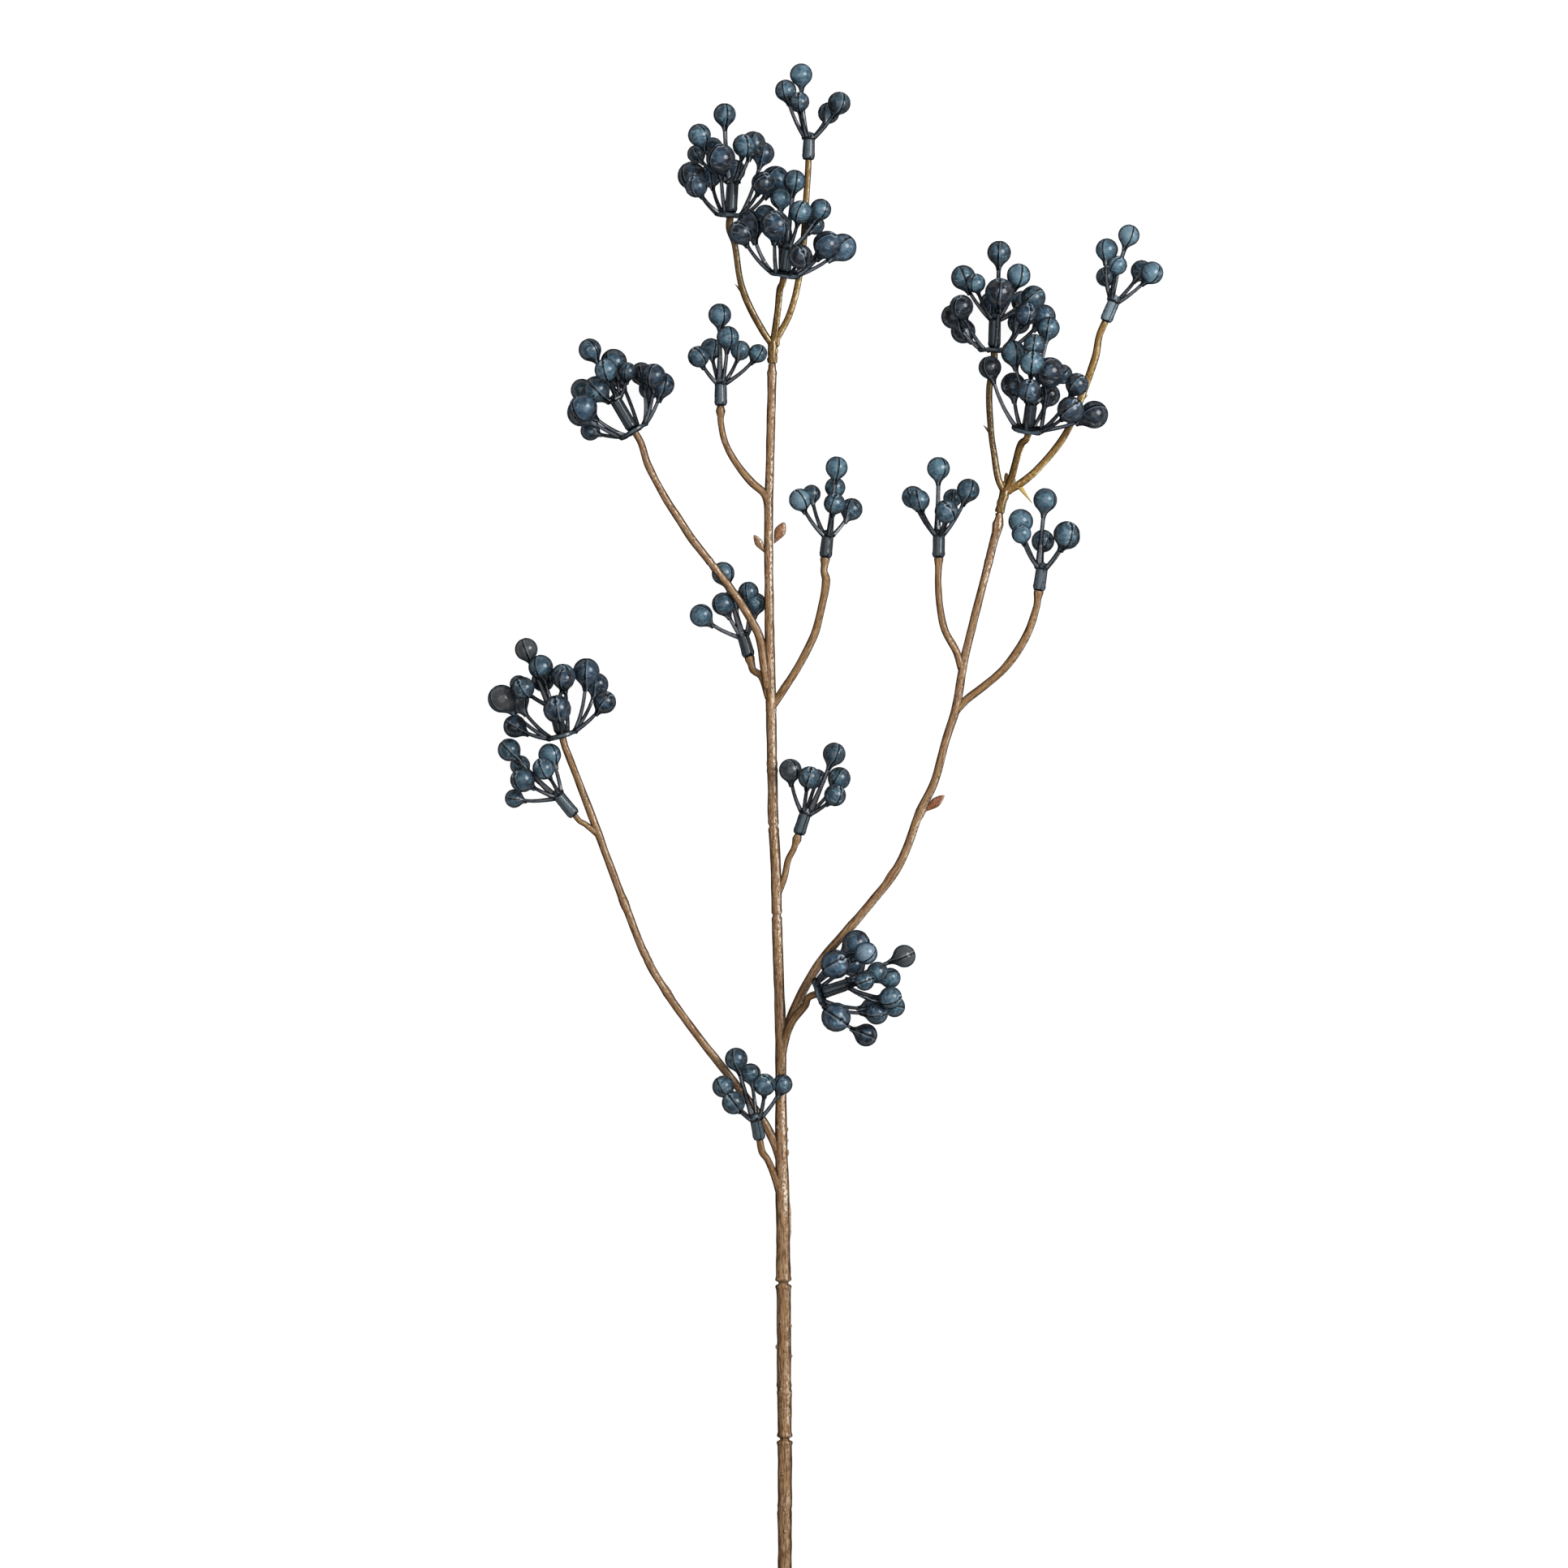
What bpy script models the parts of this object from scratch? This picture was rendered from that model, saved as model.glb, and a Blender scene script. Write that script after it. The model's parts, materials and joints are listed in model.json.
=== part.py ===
# Blueberry sprig: a moulded berry spray that lies on its back.
# A brown stem carries ten small berry sprays and seven large heads. Each large
# head is a ring of eight stalks slid on the twig, with a spray of six pushed on
# the twig's tip above it. The stem is cut plain at its foot.
# Metres. +Y runs from the foot to the tip, +Z is up from the surface it lies on.

import bmesh
import bpy
from math import cos, pi, sin
from mathutils import Vector
from mathutils.geometry import interpolate_bezier

MM = 0.001

# The front view is drawn on a grid of steps, right and down from a corner.
# Heights over the surface, widths and radii are in millimetres.
STEP = 0.36 * MM
CENTRE_RIGHT = 1016.95
CENTRE_DOWN = 1055.11

# Stem
SAMPLE_LENGTH = 14.0 * MM
TRUNK_SAMPLE_LENGTH = 28.0 * MM
TRUNK_SIDES = 7
BRANCH_SIDES = 6
TWIG_SIDES = 5
STALK_SIDES = 3
COLLAR_HALF = 1.1 * MM
COLLAR_SWELL = 1.16
COLLAR_PINCH = 0.76
FIT_GAP = 0.35 * MM
TENON_RADIUS = 0.9 * MM
TENON_LENGTH = 6.0 * MM
PIN_RADIUS = 1.0 * MM
PIN_LENGTH = 6.0 * MM

# Sprays
SLEEVE_RADIUS = 2.5 * MM
SLEEVE_MOUTH = 2.3 * MM
SLEEVE_CROWN = 1.6 * MM
SLEEVE_SIDES = 6
SOCKET_DEPTH = TENON_LENGTH + 2 * FIT_GAP
STALK_RADIUS = 0.95
STALK_SWELL = 1.25
CENTRE_STALK_BASE = 2.0
SMALL_BERRY_FACETS = (7, 4)
LARGE_BERRY_FACETS = (8, 4)
LARGE_BERRY = 6.0
FACET_ALLOWANCE = 1.03
NECK_REACH = 1.4

# Where pieces are joined: points this close are one, and seams this flat go.
SEAM_MERGE = 0.001 * MM
SEAM_FLAT = 0.003

# Rings of the large heads
RING_RADIUS = 7.4 * MM
RING_THICKNESS = 2.0 * MM
RING_SIDES = 9
TWIG_END_WIDTH = 3.2

# Routes of the stem: right, down, height, width.
TRUNK = [
    (967, 2032, 2.6, 6.2), (967, 1932, 3.8, 6.2), (967, 1775, 5.7, 6.4),
    (966, 1680, 6.8, 6.4), (965.5, 1582, 7.8, 6.4), (964, 1471, 9.0, 6.2),
    (962.5, 1400, 9.8, 5.3), (962, 1340, 10.4, 5.0), (962, 1290, 11.0, 5.0),
    (959.5, 1200, 11.9, 4.7), (957, 1128, 12.7, 4.7), (956, 1070, 13.3, 4.7),
    (953, 1018, 13.9, 4.6), (951.4, 945, 14.7, 4.5), (950, 870, 15.5, 4.6),
    (948, 760, 16.7, 4.3), (947, 640, 18.0, 4.0), (949, 560, 18.8, 4.0),
    (951.4, 448, 19.9, 4.1),
]
TRUNK_COLLARS = (1862, 1775, 1713, 1582, 1340, 1128, 1018, 945, 870)

LEFT_BRANCH = [
    (966, 1464, 9.0, 4.0), (962, 1435, 9.3, 3.9), (954, 1409, 9.6, 3.8),
    (941, 1383, 9.9, 3.8), (910, 1341, 10.3, 3.8), (884, 1308, 10.7, 3.8),
    (854, 1269.5, 11.1, 3.7), (822, 1224.5, 11.6, 3.7), (796.5, 1181, 12.0, 3.6),
    (769, 1113, 12.6, 3.6), (746, 1052, 13.1, 3.5), (737, 1027, 13.3, 3.6),
    (721, 985, 13.6, 3.4), (700, 930, 14.0, 3.2),
]
LEFT_COLLARS = (1224, 1180, 1113)

RIGHT_BRANCH = [
    (962, 1300, 11.0, 4.4), (972, 1262, 11.5, 4.2), (990, 1220, 11.9, 4.0),
    (1015, 1180, 12.5, 4.0), (1050, 1140, 13.1, 3.9), (1072, 1114, 13.5, 3.9),
    (1099, 1080, 14.0, 3.9), (1114, 1053, 14.4, 3.9), (1134, 1000, 15.0, 3.9),
    (1151, 964, 15.5, 3.7), (1165, 914, 16.1, 3.7), (1178, 872, 16.6, 4.0),
    (1184.5, 834, 17.0, 3.8), (1188.5, 811, 17.3, 3.8), (1201, 760, 18.0, 3.7),
    (1219.6, 687, 18.9, 3.6), (1231, 632, 19.6, 4.0),
]
RIGHT_COLLARS = (1140, 1080, 1000, 687)

MIDDLE_BRANCH = [
    (946, 848, 15.8, 4.0), (941, 817, 16.3, 3.9), (936, 785, 16.8, 3.9),
    (925, 763, 17.2, 3.8), (912, 742, 17.6, 3.7), (895, 718, 18.0, 3.7),
    (877.5, 695.5, 18.4, 3.8), (855.5, 668, 18.8, 3.7), (840.5, 645.5, 19.1, 3.6),
    (819.5, 613, 19.5, 3.6), (798.5, 573, 20.0, 3.3),
]
MIDDLE_COLLARS = (695,)

# Small sprays. "twig" is the route of what carries it, "mouth" and "knuckle" are
# the sleeve's two ends (right, down, height), and each berry has its place, its
# radius and how far it stands in front of the knuckle. The first is the top one.
SPRAYS = {
    "spray_top": dict(
        mouth=(996, 197, 20.0), knuckle=(997, 169, 20.0),
        berries=[(987, 92, 4.9, 0), (968, 112, 4.7, 4), (985, 127, 4.3, 12),
                 (1034, 128, 5.0, 6), (1021, 138, 4.7, -9), (983, 125, 4.1, -12)]),
    "spray_middle_left": dict(
        twig=[(947, 644, 17.9, 3.6), (943, 611, 18.2, 3.5), (925, 593, 18.6, 3.5),
              (907, 570.5, 19.0, 3.4), (893, 544, 19.5, 3.2)],
        mouth=(888, 500, 20.0), knuckle=(888, 471, 20.0),
        berries=[(887, 388, 5.0, 0), (897, 416, 4.9, 5), (876, 429, 4.7, -11),
                 (861, 440, 4.7, 8), (912, 431, 4.3, -9), (934, 436, 4.1, 5)]),
    "spray_under_branch": dict(
        twig=[(947, 860, 15.6, 3.4), (938, 833, 13.6, 3.2)],
        mouth=(923, 809, 11.6), knuckle=(915, 782, 10.6),
        berries=[(891, 706, 5.0, -1), (864, 758, 5.0, 3), (891, 744, 5.0, 4),
                 (922, 729, 4.5, 0), (931, 743, 4.7, -1), (903, 738, 4.3, -5)]),
    "spray_middle_right": dict(
        twig=[(949, 874, 15.4, 3.6), (971.5, 840.5, 16.0, 3.6), (988.5, 812.5, 16.5, 3.6),
              (1004.5, 778.5, 17.0, 3.6), (1014, 740, 17.5, 3.4), (1018, 715, 17.8, 3.8)],
        mouth=(1017, 687, 18.0), knuckle=(1020, 659, 18.0),
        berries=[(1031, 576, 4.9, 0), (1029, 600, 4.5, -8), (1028, 621, 4.7, 10),
                 (986, 616, 4.9, 8), (1000, 608, 4.0, -8), (1049, 627, 4.9, -6)]),
    "spray_low_middle": dict(
        twig=[(957, 1106, 12.8, 3.0), (966, 1082, 13.3, 2.9), (971, 1060, 13.9, 2.9)],
        mouth=(984, 1028, 15.0), knuckle=(993, 1001, 15.6),
        berries=[(1028, 929, 5.0, 0), (1034, 959, 5.0, -6), (1029, 980, 4.8, 8),
                 (974, 949, 5.0, 5), (997, 958, 4.9, 11), (1007, 959, 4.0, -10)]),
    "spray_right_inner": dict(
        twig=[(1185, 824, 17.1, 3.4), (1179, 804, 17.3, 3.3), (1164.5, 777, 17.6, 3.3),
              (1158, 747, 17.8, 3.2), (1156, 717, 18.0, 3.2)],
        mouth=(1156.5, 687, 18.0), knuckle=(1157, 658, 18.0),
        berries=[(1156.5, 577, 5.0, 0), (1125, 612, 4.9, -8), (1132, 617, 4.7, 8),
                 (1166, 631, 5.2, 15), (1174, 613, 4.1, -12), (1193, 604, 5.0, 3)]),
    "spray_right_outer": dict(
        twig=[(1178, 876, 16.5, 3.8), (1192, 861, 16.8, 3.6), (1215, 843.5, 17.2, 3.6),
              (1236, 825, 17.6, 3.6), (1254, 802, 18.0, 3.6), (1268, 776, 18.4, 3.6)],
        mouth=(1280, 728, 19.0), knuckle=(1284, 699, 19.0),
        berries=[(1288, 616, 5.2, 0), (1258, 642, 5.4, -7), (1258, 658, 4.3, 9),
                 (1286, 666, 5.0, -15), (1314, 659, 5.8, 9), (1316, 661, 5.4, -8)]),
    "spray_right_tip": dict(
        mouth=(1362, 396, 20.5), knuckle=(1373, 370, 21.0),
        berries=[(1391, 290, 4.7, 0), (1364, 307, 4.9, -6), (1376, 328, 4.2, 11),
                 (1363, 340, 4.3, -12), (1407, 333, 4.7, -8), (1419, 337, 5.0, 6)]),
    "spray_low_left": dict(
        twig=[(738, 1029, 13.3, 2.4), (722, 1014, 14.0, 2.1)],
        mouth=(706, 1003, 14.8), knuckle=(686, 979, 15.6),
        berries=[(627, 924, 5.0, 0), (640, 943, 4.4, -9), (644, 961, 5.4, 10),
                 (633, 984, 4.1, -5), (677, 930, 5.0, -5), (670, 947, 4.9, 11)]),
    "spray_bottom": dict(
        twig=[(963, 1480, 8.9, 3.4), (954, 1449, 11.2, 3.2), (945, 1428, 13.6, 3.2)],
        mouth=(936, 1404, 16.6), knuckle=(931, 1378, 19.0),
        berries=[(907, 1305, 5.0, 2), (925, 1323, 4.4, -5), (942, 1336, 4.9, 9),
                 (964, 1336, 4.4, 1), (891, 1339, 4.8, -1), (904, 1358, 5.1, 10)]),
}

# Large heads. "hub" is the middle of the ring, "knuckle" the top of the sleeve
# that stands on it, and both lists of berries are measured from the hub's height.
HEADS = {
    "top_left": dict(
        hub=(900, 265, 20.1), knuckle=(903, 224, 20.5),
        upper=[(893, 141, 4.9, 0), (862, 167, 5.0, 4), (858, 189, 4.0, -6),
               (878, 180, 4.3, -10), (917, 181, 5.0, 12), (928, 177, 5.4, 1)],
        lower=[(888, 197, 6.4, 15), (940, 188, 5.0, -9), (852, 217, 6.1, 3),
               (858, 231, 5.0, 13), (875, 215, 5.0, -15), (940, 227, 5.0, 14),
               (955, 222, 6.4, -3), (905, 208, 4.8, -16)]),
    "top_right": dict(
        hub=(966, 339, 33.0), knuckle=(971, 306, 35.0),
        upper=[(979, 225, 4.9, 3), (962, 245, 4.7, -5), (986, 264, 5.0, 12),
               (1011, 260, 4.7, 3), (1004, 278, 4.3, -7), (943, 267, 5.0, -8)],
        lower=[(955, 280, 6.4, 14), (925, 278, 6.1, 1), (913, 289, 5.4, 12),
               (986, 320, 5.4, 22), (1019, 304, 6.1, 10), (1038, 306, 6.1, -2),
               (962, 288, 5.0, -15), (1016, 300, 5.0, -13)]),
    "right_upper": dict(
        hub=(1225, 431, 18.3), knuckle=(1226, 392, 18.5),
        upper=[(1231, 311, 5.2, 0), (1187, 342, 5.4, 3), (1202, 350, 4.2, 11),
               (1255, 340, 5.2, 8), (1273, 367, 5.4, 4), (1260, 370, 4.7, -14)],
        lower=[(1231, 362, 6.4, 16), (1264, 388, 5.0, 13), (1184, 379, 5.2, 13),
               (1175, 390, 5.4, 1), (1187, 407, 5.4, -10), (1286, 390, 5.4, -2),
               (1256, 396, 5.0, -13), (1222, 372, 5.0, -14)]),
    "right_lower": dict(
        hub=(1266, 530, 35.0), knuckle=(1270, 497, 38.0),
        upper=[(1291, 405, 5.0, -6), (1248, 436, 5.4, 0), (1273, 427, 4.7, 10),
               (1270, 450, 5.4, 15.5), (1309, 462, 4.3, -6), (1284, 458, 4.4, -10)],
        lower=[(1219, 454, 5.0, -1), (1248, 475, 5.4, -6), (1266, 484, 5.2, 19),
               (1292, 460, 6.4, 7), (1325, 476, 5.0, 14), (1292, 487, 5.0, -13),
               (1317, 507, 5.8, 17), (1347, 512, 6.1, 2)]),
    "left": dict(
        hub=(781, 531, 20.3), knuckle=(758, 492, 20.3),
        upper=[(727, 431, 5.0, 0), (756, 446, 5.8, -3), (747, 457, 5.0, 13),
               (773, 458, 4.0, 4), (735, 480, 5.8, 3), (717, 480, 5.0, -9)],
        lower=[(719, 503, 6.1, 12), (716, 508, 6.1, -3), (727, 530, 4.3, -10),
               (790, 460, 5.0, -6), (805, 464, 5.4, 10), (816, 474, 5.4, 0),
               (800, 478, 4.7, -13), (762, 462, 5.0, -16)]),
    "left_lower": dict(
        hub=(692, 906, 14.2), knuckle=(681, 867, 14.6),
        upper=[(648, 800, 5.0, 0), (666, 822, 5.4, 3), (668, 838, 5.0, -10),
               (639, 843, 4.0, 0), (645, 848, 4.9, 12), (694, 833, 5.4, 5)],
        lower=[(618, 861, 6.1, 4), (635, 862, 5.8, -9), (634, 895, 5.0, 3),
               (695, 837, 4.7, 17), (722, 827, 5.8, 0), (735, 843, 5.0, -9),
               (745, 865, 5.0, 7), (687, 874, 6.1, 21)]),
    "right_base": dict(
        twig=[(963, 1304, 10.9, 3.8), (968, 1278, 12.6, 3.6), (978, 1256, 16.0, 3.5),
              (992, 1239, 20.0, 3.3)],
        hub=(1010, 1224, 24.0), knuckle=(1046, 1212, 26.0),
        upper=[(1114, 1178, 5.0, 2), (1081, 1198, 4.7, 5), (1065, 1208, 4.3, 14),
               (1097, 1205, 4.5, -5), (1097, 1229, 5.0, 12), (1102, 1240, 4.7, -4)],
        lower=[(1055, 1163, 6.1, -2), (1067, 1174, 5.0, 12), (1029, 1187, 6.4, 19),
               (1080, 1248, 5.0, 7), (1030, 1252, 6.4, 19), (1067, 1275, 5.0, 0),
               (1075, 1243, 5.0, -13), (1052, 1190, 5.0, -14)]),
}

# Forks: a pin pushed in the end below, then three prongs. The outer two go on to
# "ends", which name the head or spray that each prong carries.
FORKS = {
    "fork_top": dict(
        foot=(951.5, 444, 19.95), crotch=(952, 424, 20.2), width=3.6,
        prongs={
            "top_left": [(940, 408, 20.4, 3.2), (920.7, 371.5, 20.8, 3.1), (912, 345, 20.4, 2.9),
                         (905, 300, 20.2, 2.9)],
            "top_right": [(955, 408, 21.5, 3.2), (958, 385, 25.0, 3.0), (961, 357, 30.0, 3.2)],
            "spray_top": [(960, 412, 20.0, 3.1), (972, 390, 19.8, 3.0), (983, 350, 19.6, 3.0),
                          (990, 300, 19.7, 3.0), (993, 250, 19.8, 2.9)],
        }),
    "fork_right": dict(
        foot=(1232, 627, 19.7), crotch=(1238, 606, 20.0), width=3.6,
        prongs={
            "right_upper": [(1230, 590, 19.9, 3.1), (1225, 560, 19.6, 2.9),
                            (1221, 530, 19.2, 2.9), (1219, 480, 18.7, 2.9)],
            "right_lower": [(1245, 592, 21.5, 3.4), (1251, 570, 26.0, 3.2),
                            (1258, 547, 31.5, 3.4)],
            "spray_right_tip": [(1257, 596, 20.0, 3.6), (1275, 581, 19.8, 3.4),
                                (1297, 557, 19.6, 3.3), (1315, 531, 19.6, 3.2),
                                (1332, 490, 19.8, 3.4), (1349.3, 440.7, 20.2, 3.4)],
        }),
}

# Buds: base, tip and width. They are part of the stem's moulding.
BUDS = {
    "left": ((943, 682, 17.6), (929, 659, 18.4), 3.2),
    "right": ((953.5, 670, 17.7), (966.6, 643.5, 18.6), 4.6),
    "branch": ((1140, 999, 15.2), (1163.6, 980, 16.4), 3.5),
}

COLOURS = {
    "stem": ((0.36, 0.23, 0.13), 0.55),
    "fork": ((0.30, 0.19, 0.05), 0.35),
    "whorl": ((0.035, 0.055, 0.10), 0.40),
    "spray": ((0.05, 0.10, 0.16), 0.40),
}


def clear_scene():
    for obj in list(bpy.data.objects):
        bpy.data.objects.remove(obj, do_unlink=True)


def place(right, down, height):
    # A point of the front drawing, in metres.
    return Vector(((right - CENTRE_RIGHT) * STEP, (CENTRE_DOWN - down) * STEP, height * MM))


def material(kind):
    name = kind + "_finish"
    if name in bpy.data.materials:
        return bpy.data.materials[name]
    colour, roughness = COLOURS[kind]
    finish = bpy.data.materials.new(name)
    finish.use_nodes = True
    shader = finish.node_tree.nodes["Principled BSDF"]
    shader.inputs["Base Color"].default_value = (*colour, 1.0)
    shader.inputs["Roughness"].default_value = roughness
    shader.inputs["Metallic"].default_value = 0.0
    return finish


def add_object(name, mesh, collection):
    obj = bpy.data.objects.new(name, mesh)
    collection.objects.link(obj)
    return obj


def mesh_from(bm, name):
    bmesh.ops.remove_doubles(bm, verts=bm.verts, dist=0.00001)
    bmesh.ops.recalc_face_normals(bm, faces=bm.faces)
    mesh = bpy.data.meshes.new(name)
    bm.to_mesh(mesh)
    bm.free()
    return mesh


def tube(name, points, radii, sides, collection):
    # A capped tube through the points, made a mesh so that it can be joined.
    section = bpy.data.curves.new(name + "_section", "CURVE")
    outline = section.splines.new("POLY")
    outline.points.add(sides - 1)
    outline.use_cyclic_u = True
    for index, corner in enumerate(outline.points):
        angle = 2 * pi * index / sides
        corner.co = (cos(angle) * MM, sin(angle) * MM, 0, 1)
    section_guide = add_object(name + "_section", section, collection)
    curve = bpy.data.curves.new(name, "CURVE")
    curve.dimensions = "3D"
    curve.fill_mode = "FULL"
    curve.use_fill_caps = True
    curve.bevel_mode = "OBJECT"
    curve.bevel_object = section_guide
    spline = curve.splines.new("POLY")
    spline.points.add(len(points) - 1)
    for knot, point, radius in zip(spline.points, points, radii):
        knot.co = (*point, 1.0)
        knot.radius = radius / MM
    guide = add_object(name + "_guide", curve, collection)
    bpy.context.view_layer.update()
    evaluated = guide.evaluated_get(bpy.context.evaluated_depsgraph_get())
    bm = bmesh.new()
    bm.from_mesh(bpy.data.meshes.new_from_object(evaluated))
    bpy.data.objects.remove(guide, do_unlink=True)
    bpy.data.objects.remove(section_guide, do_unlink=True)
    return add_object(name, mesh_from(bm, name), collection)


def smooth_route(knots, spacing):
    # Points along a smooth curve through the knots (position, radius).
    places = [knot[0] for knot in knots]
    route = [knots[0]]
    for i in range(len(knots) - 1):
        start, end = places[i], places[i + 1]
        before = places[max(i - 1, 0)]
        after = places[min(i + 2, len(places) - 1)]
        span = (end - start).length
        lead = (end - before).normalized() * span / 3
        trail = (after - start).normalized() * span / 3
        steps = max(1, round(span / spacing))
        arc = interpolate_bezier(start, start + lead, end - trail, end, steps + 1)
        for step in range(1, steps + 1):
            share = step / steps
            radius = knots[i][1] * (1 - share) + knots[i + 1][1] * share
            route.append((arc[step], radius))
    return route


def add_collars(route, collars):
    # A pinch between two swellings where a collar crosses the route. The route's
    # own points so close to a collar give way to it.
    heights = sorted((CENTRE_DOWN - down) * STEP for down in collars)
    plain = [route[0]]
    plain += [knot for knot in route[1:-1]
              if all(abs(knot[0].y - height) > 2.5 * COLLAR_HALF for height in heights)]
    plain.append(route[-1])
    result = [plain[0]]
    for (start, r0), (end, r1) in zip(plain, plain[1:]):
        run = end - start
        for height in heights:
            if start.y < height <= end.y:
                share = (height - start.y) / run.y
                centre = start + run * share
                radius = r0 * (1 - share) + r1 * share
                half = run.normalized() * COLLAR_HALF
                result += [(centre - half, radius * COLLAR_SWELL), (centre, radius * COLLAR_PINCH),
                           (centre + half, radius * COLLAR_SWELL)]
        result.append((end, r1))
    return result


def knots_of(table):
    return [(place(right, down, height), width / 2 * MM) for right, down, height, width in table]


def with_tenon(knots, mouth, axis, width):
    # Ends a route square in front of a sleeve, with a thin tenon that goes in it.
    radius = width / 2 * MM
    shoulder = mouth - axis * FIT_GAP
    return knots + [(shoulder - axis * 3 * MM, radius), (shoulder, radius)], [
        (shoulder + axis * 0.05 * MM, TENON_RADIUS),
        (mouth + axis * TENON_LENGTH, TENON_RADIUS)]


def fit_of(name):
    # Where a head's or a spray's sleeve starts, and the way it points.
    if name in HEADS:
        hub = place(*HEADS[name]["hub"])
        axis = (place(*HEADS[name]["knuckle"]) - hub).normalized()
        return hub + axis * (RING_THICKNESS / 2 + FIT_GAP), axis
    mouth = place(*SPRAYS[name]["mouth"])
    return mouth, (place(*SPRAYS[name]["knuckle"]) - mouth).normalized()


def carrier(name, table, sides, collection, collars=()):
    # The branch, twig or prong that ends in the named head or spray.
    mouth, axis = fit_of(name)
    width = TWIG_END_WIDTH if name in HEADS else min(TWIG_END_WIDTH, table[-1][3])
    knots, tenon = with_tenon(knots_of(table), mouth, axis, width)
    route = add_collars(smooth_route(knots, SAMPLE_LENGTH), collars) + tenon
    return tube("to_" + name, [p for p, r in route], [r for p, r in route], sides, collection)


def turned(profile, sides):
    # A closed body from a profile of (radius, height), turned about Z.
    bm = bmesh.new()
    verts = [bm.verts.new((radius, 0, height)) for radius, height in profile]
    edges = [bm.edges.new(pair) for pair in zip(verts, verts[1:])]
    if profile[0][0] > 0:
        edges.append(bm.edges.new((verts[-1], verts[0])))
    bmesh.ops.spin(bm, geom=verts + edges, cent=(0, 0, 0), axis=(0, 0, 1), dvec=(0, 0, 0),
                   angle=2 * pi, steps=sides, use_merge=True)
    return bm


def aim(bm, axis, origin):
    # Turns what is built along +Z so that it points along axis from origin.
    bmesh.ops.transform(bm, matrix=axis.to_track_quat("Z", "Y").to_matrix().to_4x4(),
                        verts=bm.verts)
    bmesh.ops.translate(bm, vec=origin, verts=bm.verts)


def sleeve(mouth, knuckle, collection):
    length = (knuckle - mouth).length
    socket = TENON_RADIUS + FIT_GAP
    bm = turned([(0, SOCKET_DEPTH), (socket, SOCKET_DEPTH), (socket, 0), (SLEEVE_MOUTH, 0),
                 (SLEEVE_RADIUS, length), (SLEEVE_CROWN, length + 1.2 * MM),
                 (0, length + 1.2 * MM)], SLEEVE_SIDES)
    aim(bm, (knuckle - mouth).normalized(), mouth)
    return add_object("sleeve", mesh_from(bm, "sleeve"), collection)


def ring(hub, axis, collection):
    hole = TWIG_END_WIDTH / 2 * MM + FIT_GAP
    half = RING_THICKNESS / 2
    bm = turned([(hole, -half), (RING_RADIUS, -half), (RING_RADIUS, half), (hole, half)],
                RING_SIDES)
    aim(bm, axis, hub)
    return add_object("ring", mesh_from(bm, "ring"), collection)


def berry(centre, away, radius, collection):
    # A ball with a short neck towards its stalk.
    facets = LARGE_BERRY_FACETS if radius >= LARGE_BERRY * MM else SMALL_BERRY_FACETS
    bm = bmesh.new()
    bmesh.ops.create_uvsphere(bm, u_segments=facets[0], v_segments=facets[1],
                              radius=radius * FACET_ALLOWANCE)
    pole = min(bm.verts, key=lambda vert: vert.co.z)
    pole.co.z = -radius * NECK_REACH
    aim(bm, away, centre)
    return add_object("berry", mesh_from(bm, "berry"), collection)


def stalk(root, bend, centre, widths, collection):
    # A thin stalk on one bend, from well inside what it grows from to the berry.
    points = interpolate_bezier(root, root.lerp(bend, 2 / 3), centre.lerp(bend, 2 / 3), centre, 3)
    tube("stalk", points, [width * MM for width in widths], STALK_SIDES, collection)
    return (centre - points[-2]).normalized()


def add_berries(table, hub_height, root_of, bend_of, collection, centre_first):
    for index, (right, down, radius, forward) in enumerate(table):
        centre = place(right, down, hub_height + forward)
        root = root_of(centre)
        widths = [STALK_RADIUS * STALK_SWELL, STALK_RADIUS, STALK_RADIUS * STALK_SWELL]
        if centre_first and index == 0:
            widths[0] = CENTRE_STALK_BASE
        away = stalk(root, bend_of(root, centre), centre, widths, collection)
        berry(centre, away, radius * MM, collection)


def split(vector, axis):
    # The parts of a vector along the axis and square to it.
    along = axis * vector.dot(axis)
    return along, vector - along


def fuse(base, repeats, name, kind, target):
    # One union joins the repeats to the base, which becomes the finished piece.
    union = base.modifiers.new("join", "BOOLEAN")
    union.operation = "UNION"
    union.operand_type = "COLLECTION"
    union.collection = repeats
    union.solver = "MANIFOLD"
    bpy.context.view_layer.update()
    bm = bmesh.new()
    bm.from_mesh(bpy.data.meshes.new_from_object(
        base.evaluated_get(bpy.context.evaluated_depsgraph_get())))
    bmesh.ops.remove_doubles(bm, verts=bm.verts, dist=SEAM_MERGE)
    bmesh.ops.dissolve_limit(bm, angle_limit=SEAM_FLAT, verts=bm.verts, edges=bm.edges)
    bmesh.ops.triangulate(bm, faces=bm.faces)
    mesh = bpy.data.meshes.new(name)
    bm.to_mesh(mesh)
    bm.free()
    for obj in list(repeats.objects):
        bpy.data.objects.remove(obj, do_unlink=True)
    bpy.data.objects.remove(base, do_unlink=True)
    piece = add_object(name, mesh, target)
    mesh.materials.append(material(kind))
    return piece


def make_spray(name, mouth, knuckle, table, height, target, repeats):
    axis = (knuckle - mouth).normalized()

    def root_of(centre):
        outward = split(centre - knuckle, axis)[1]
        reach = min(outward.length, 1.5 * MM)
        return knuckle - axis * 1.0 * MM + outward.normalized() * reach

    def bend_of(root, centre):
        along, outward = split(centre - root, axis)
        return root + along * 0.45 + outward * 0.7

    base = sleeve(mouth, knuckle, target)
    add_berries(table, height, root_of, bend_of, repeats, True)
    return fuse(base, repeats, name, "spray", target)


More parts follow.
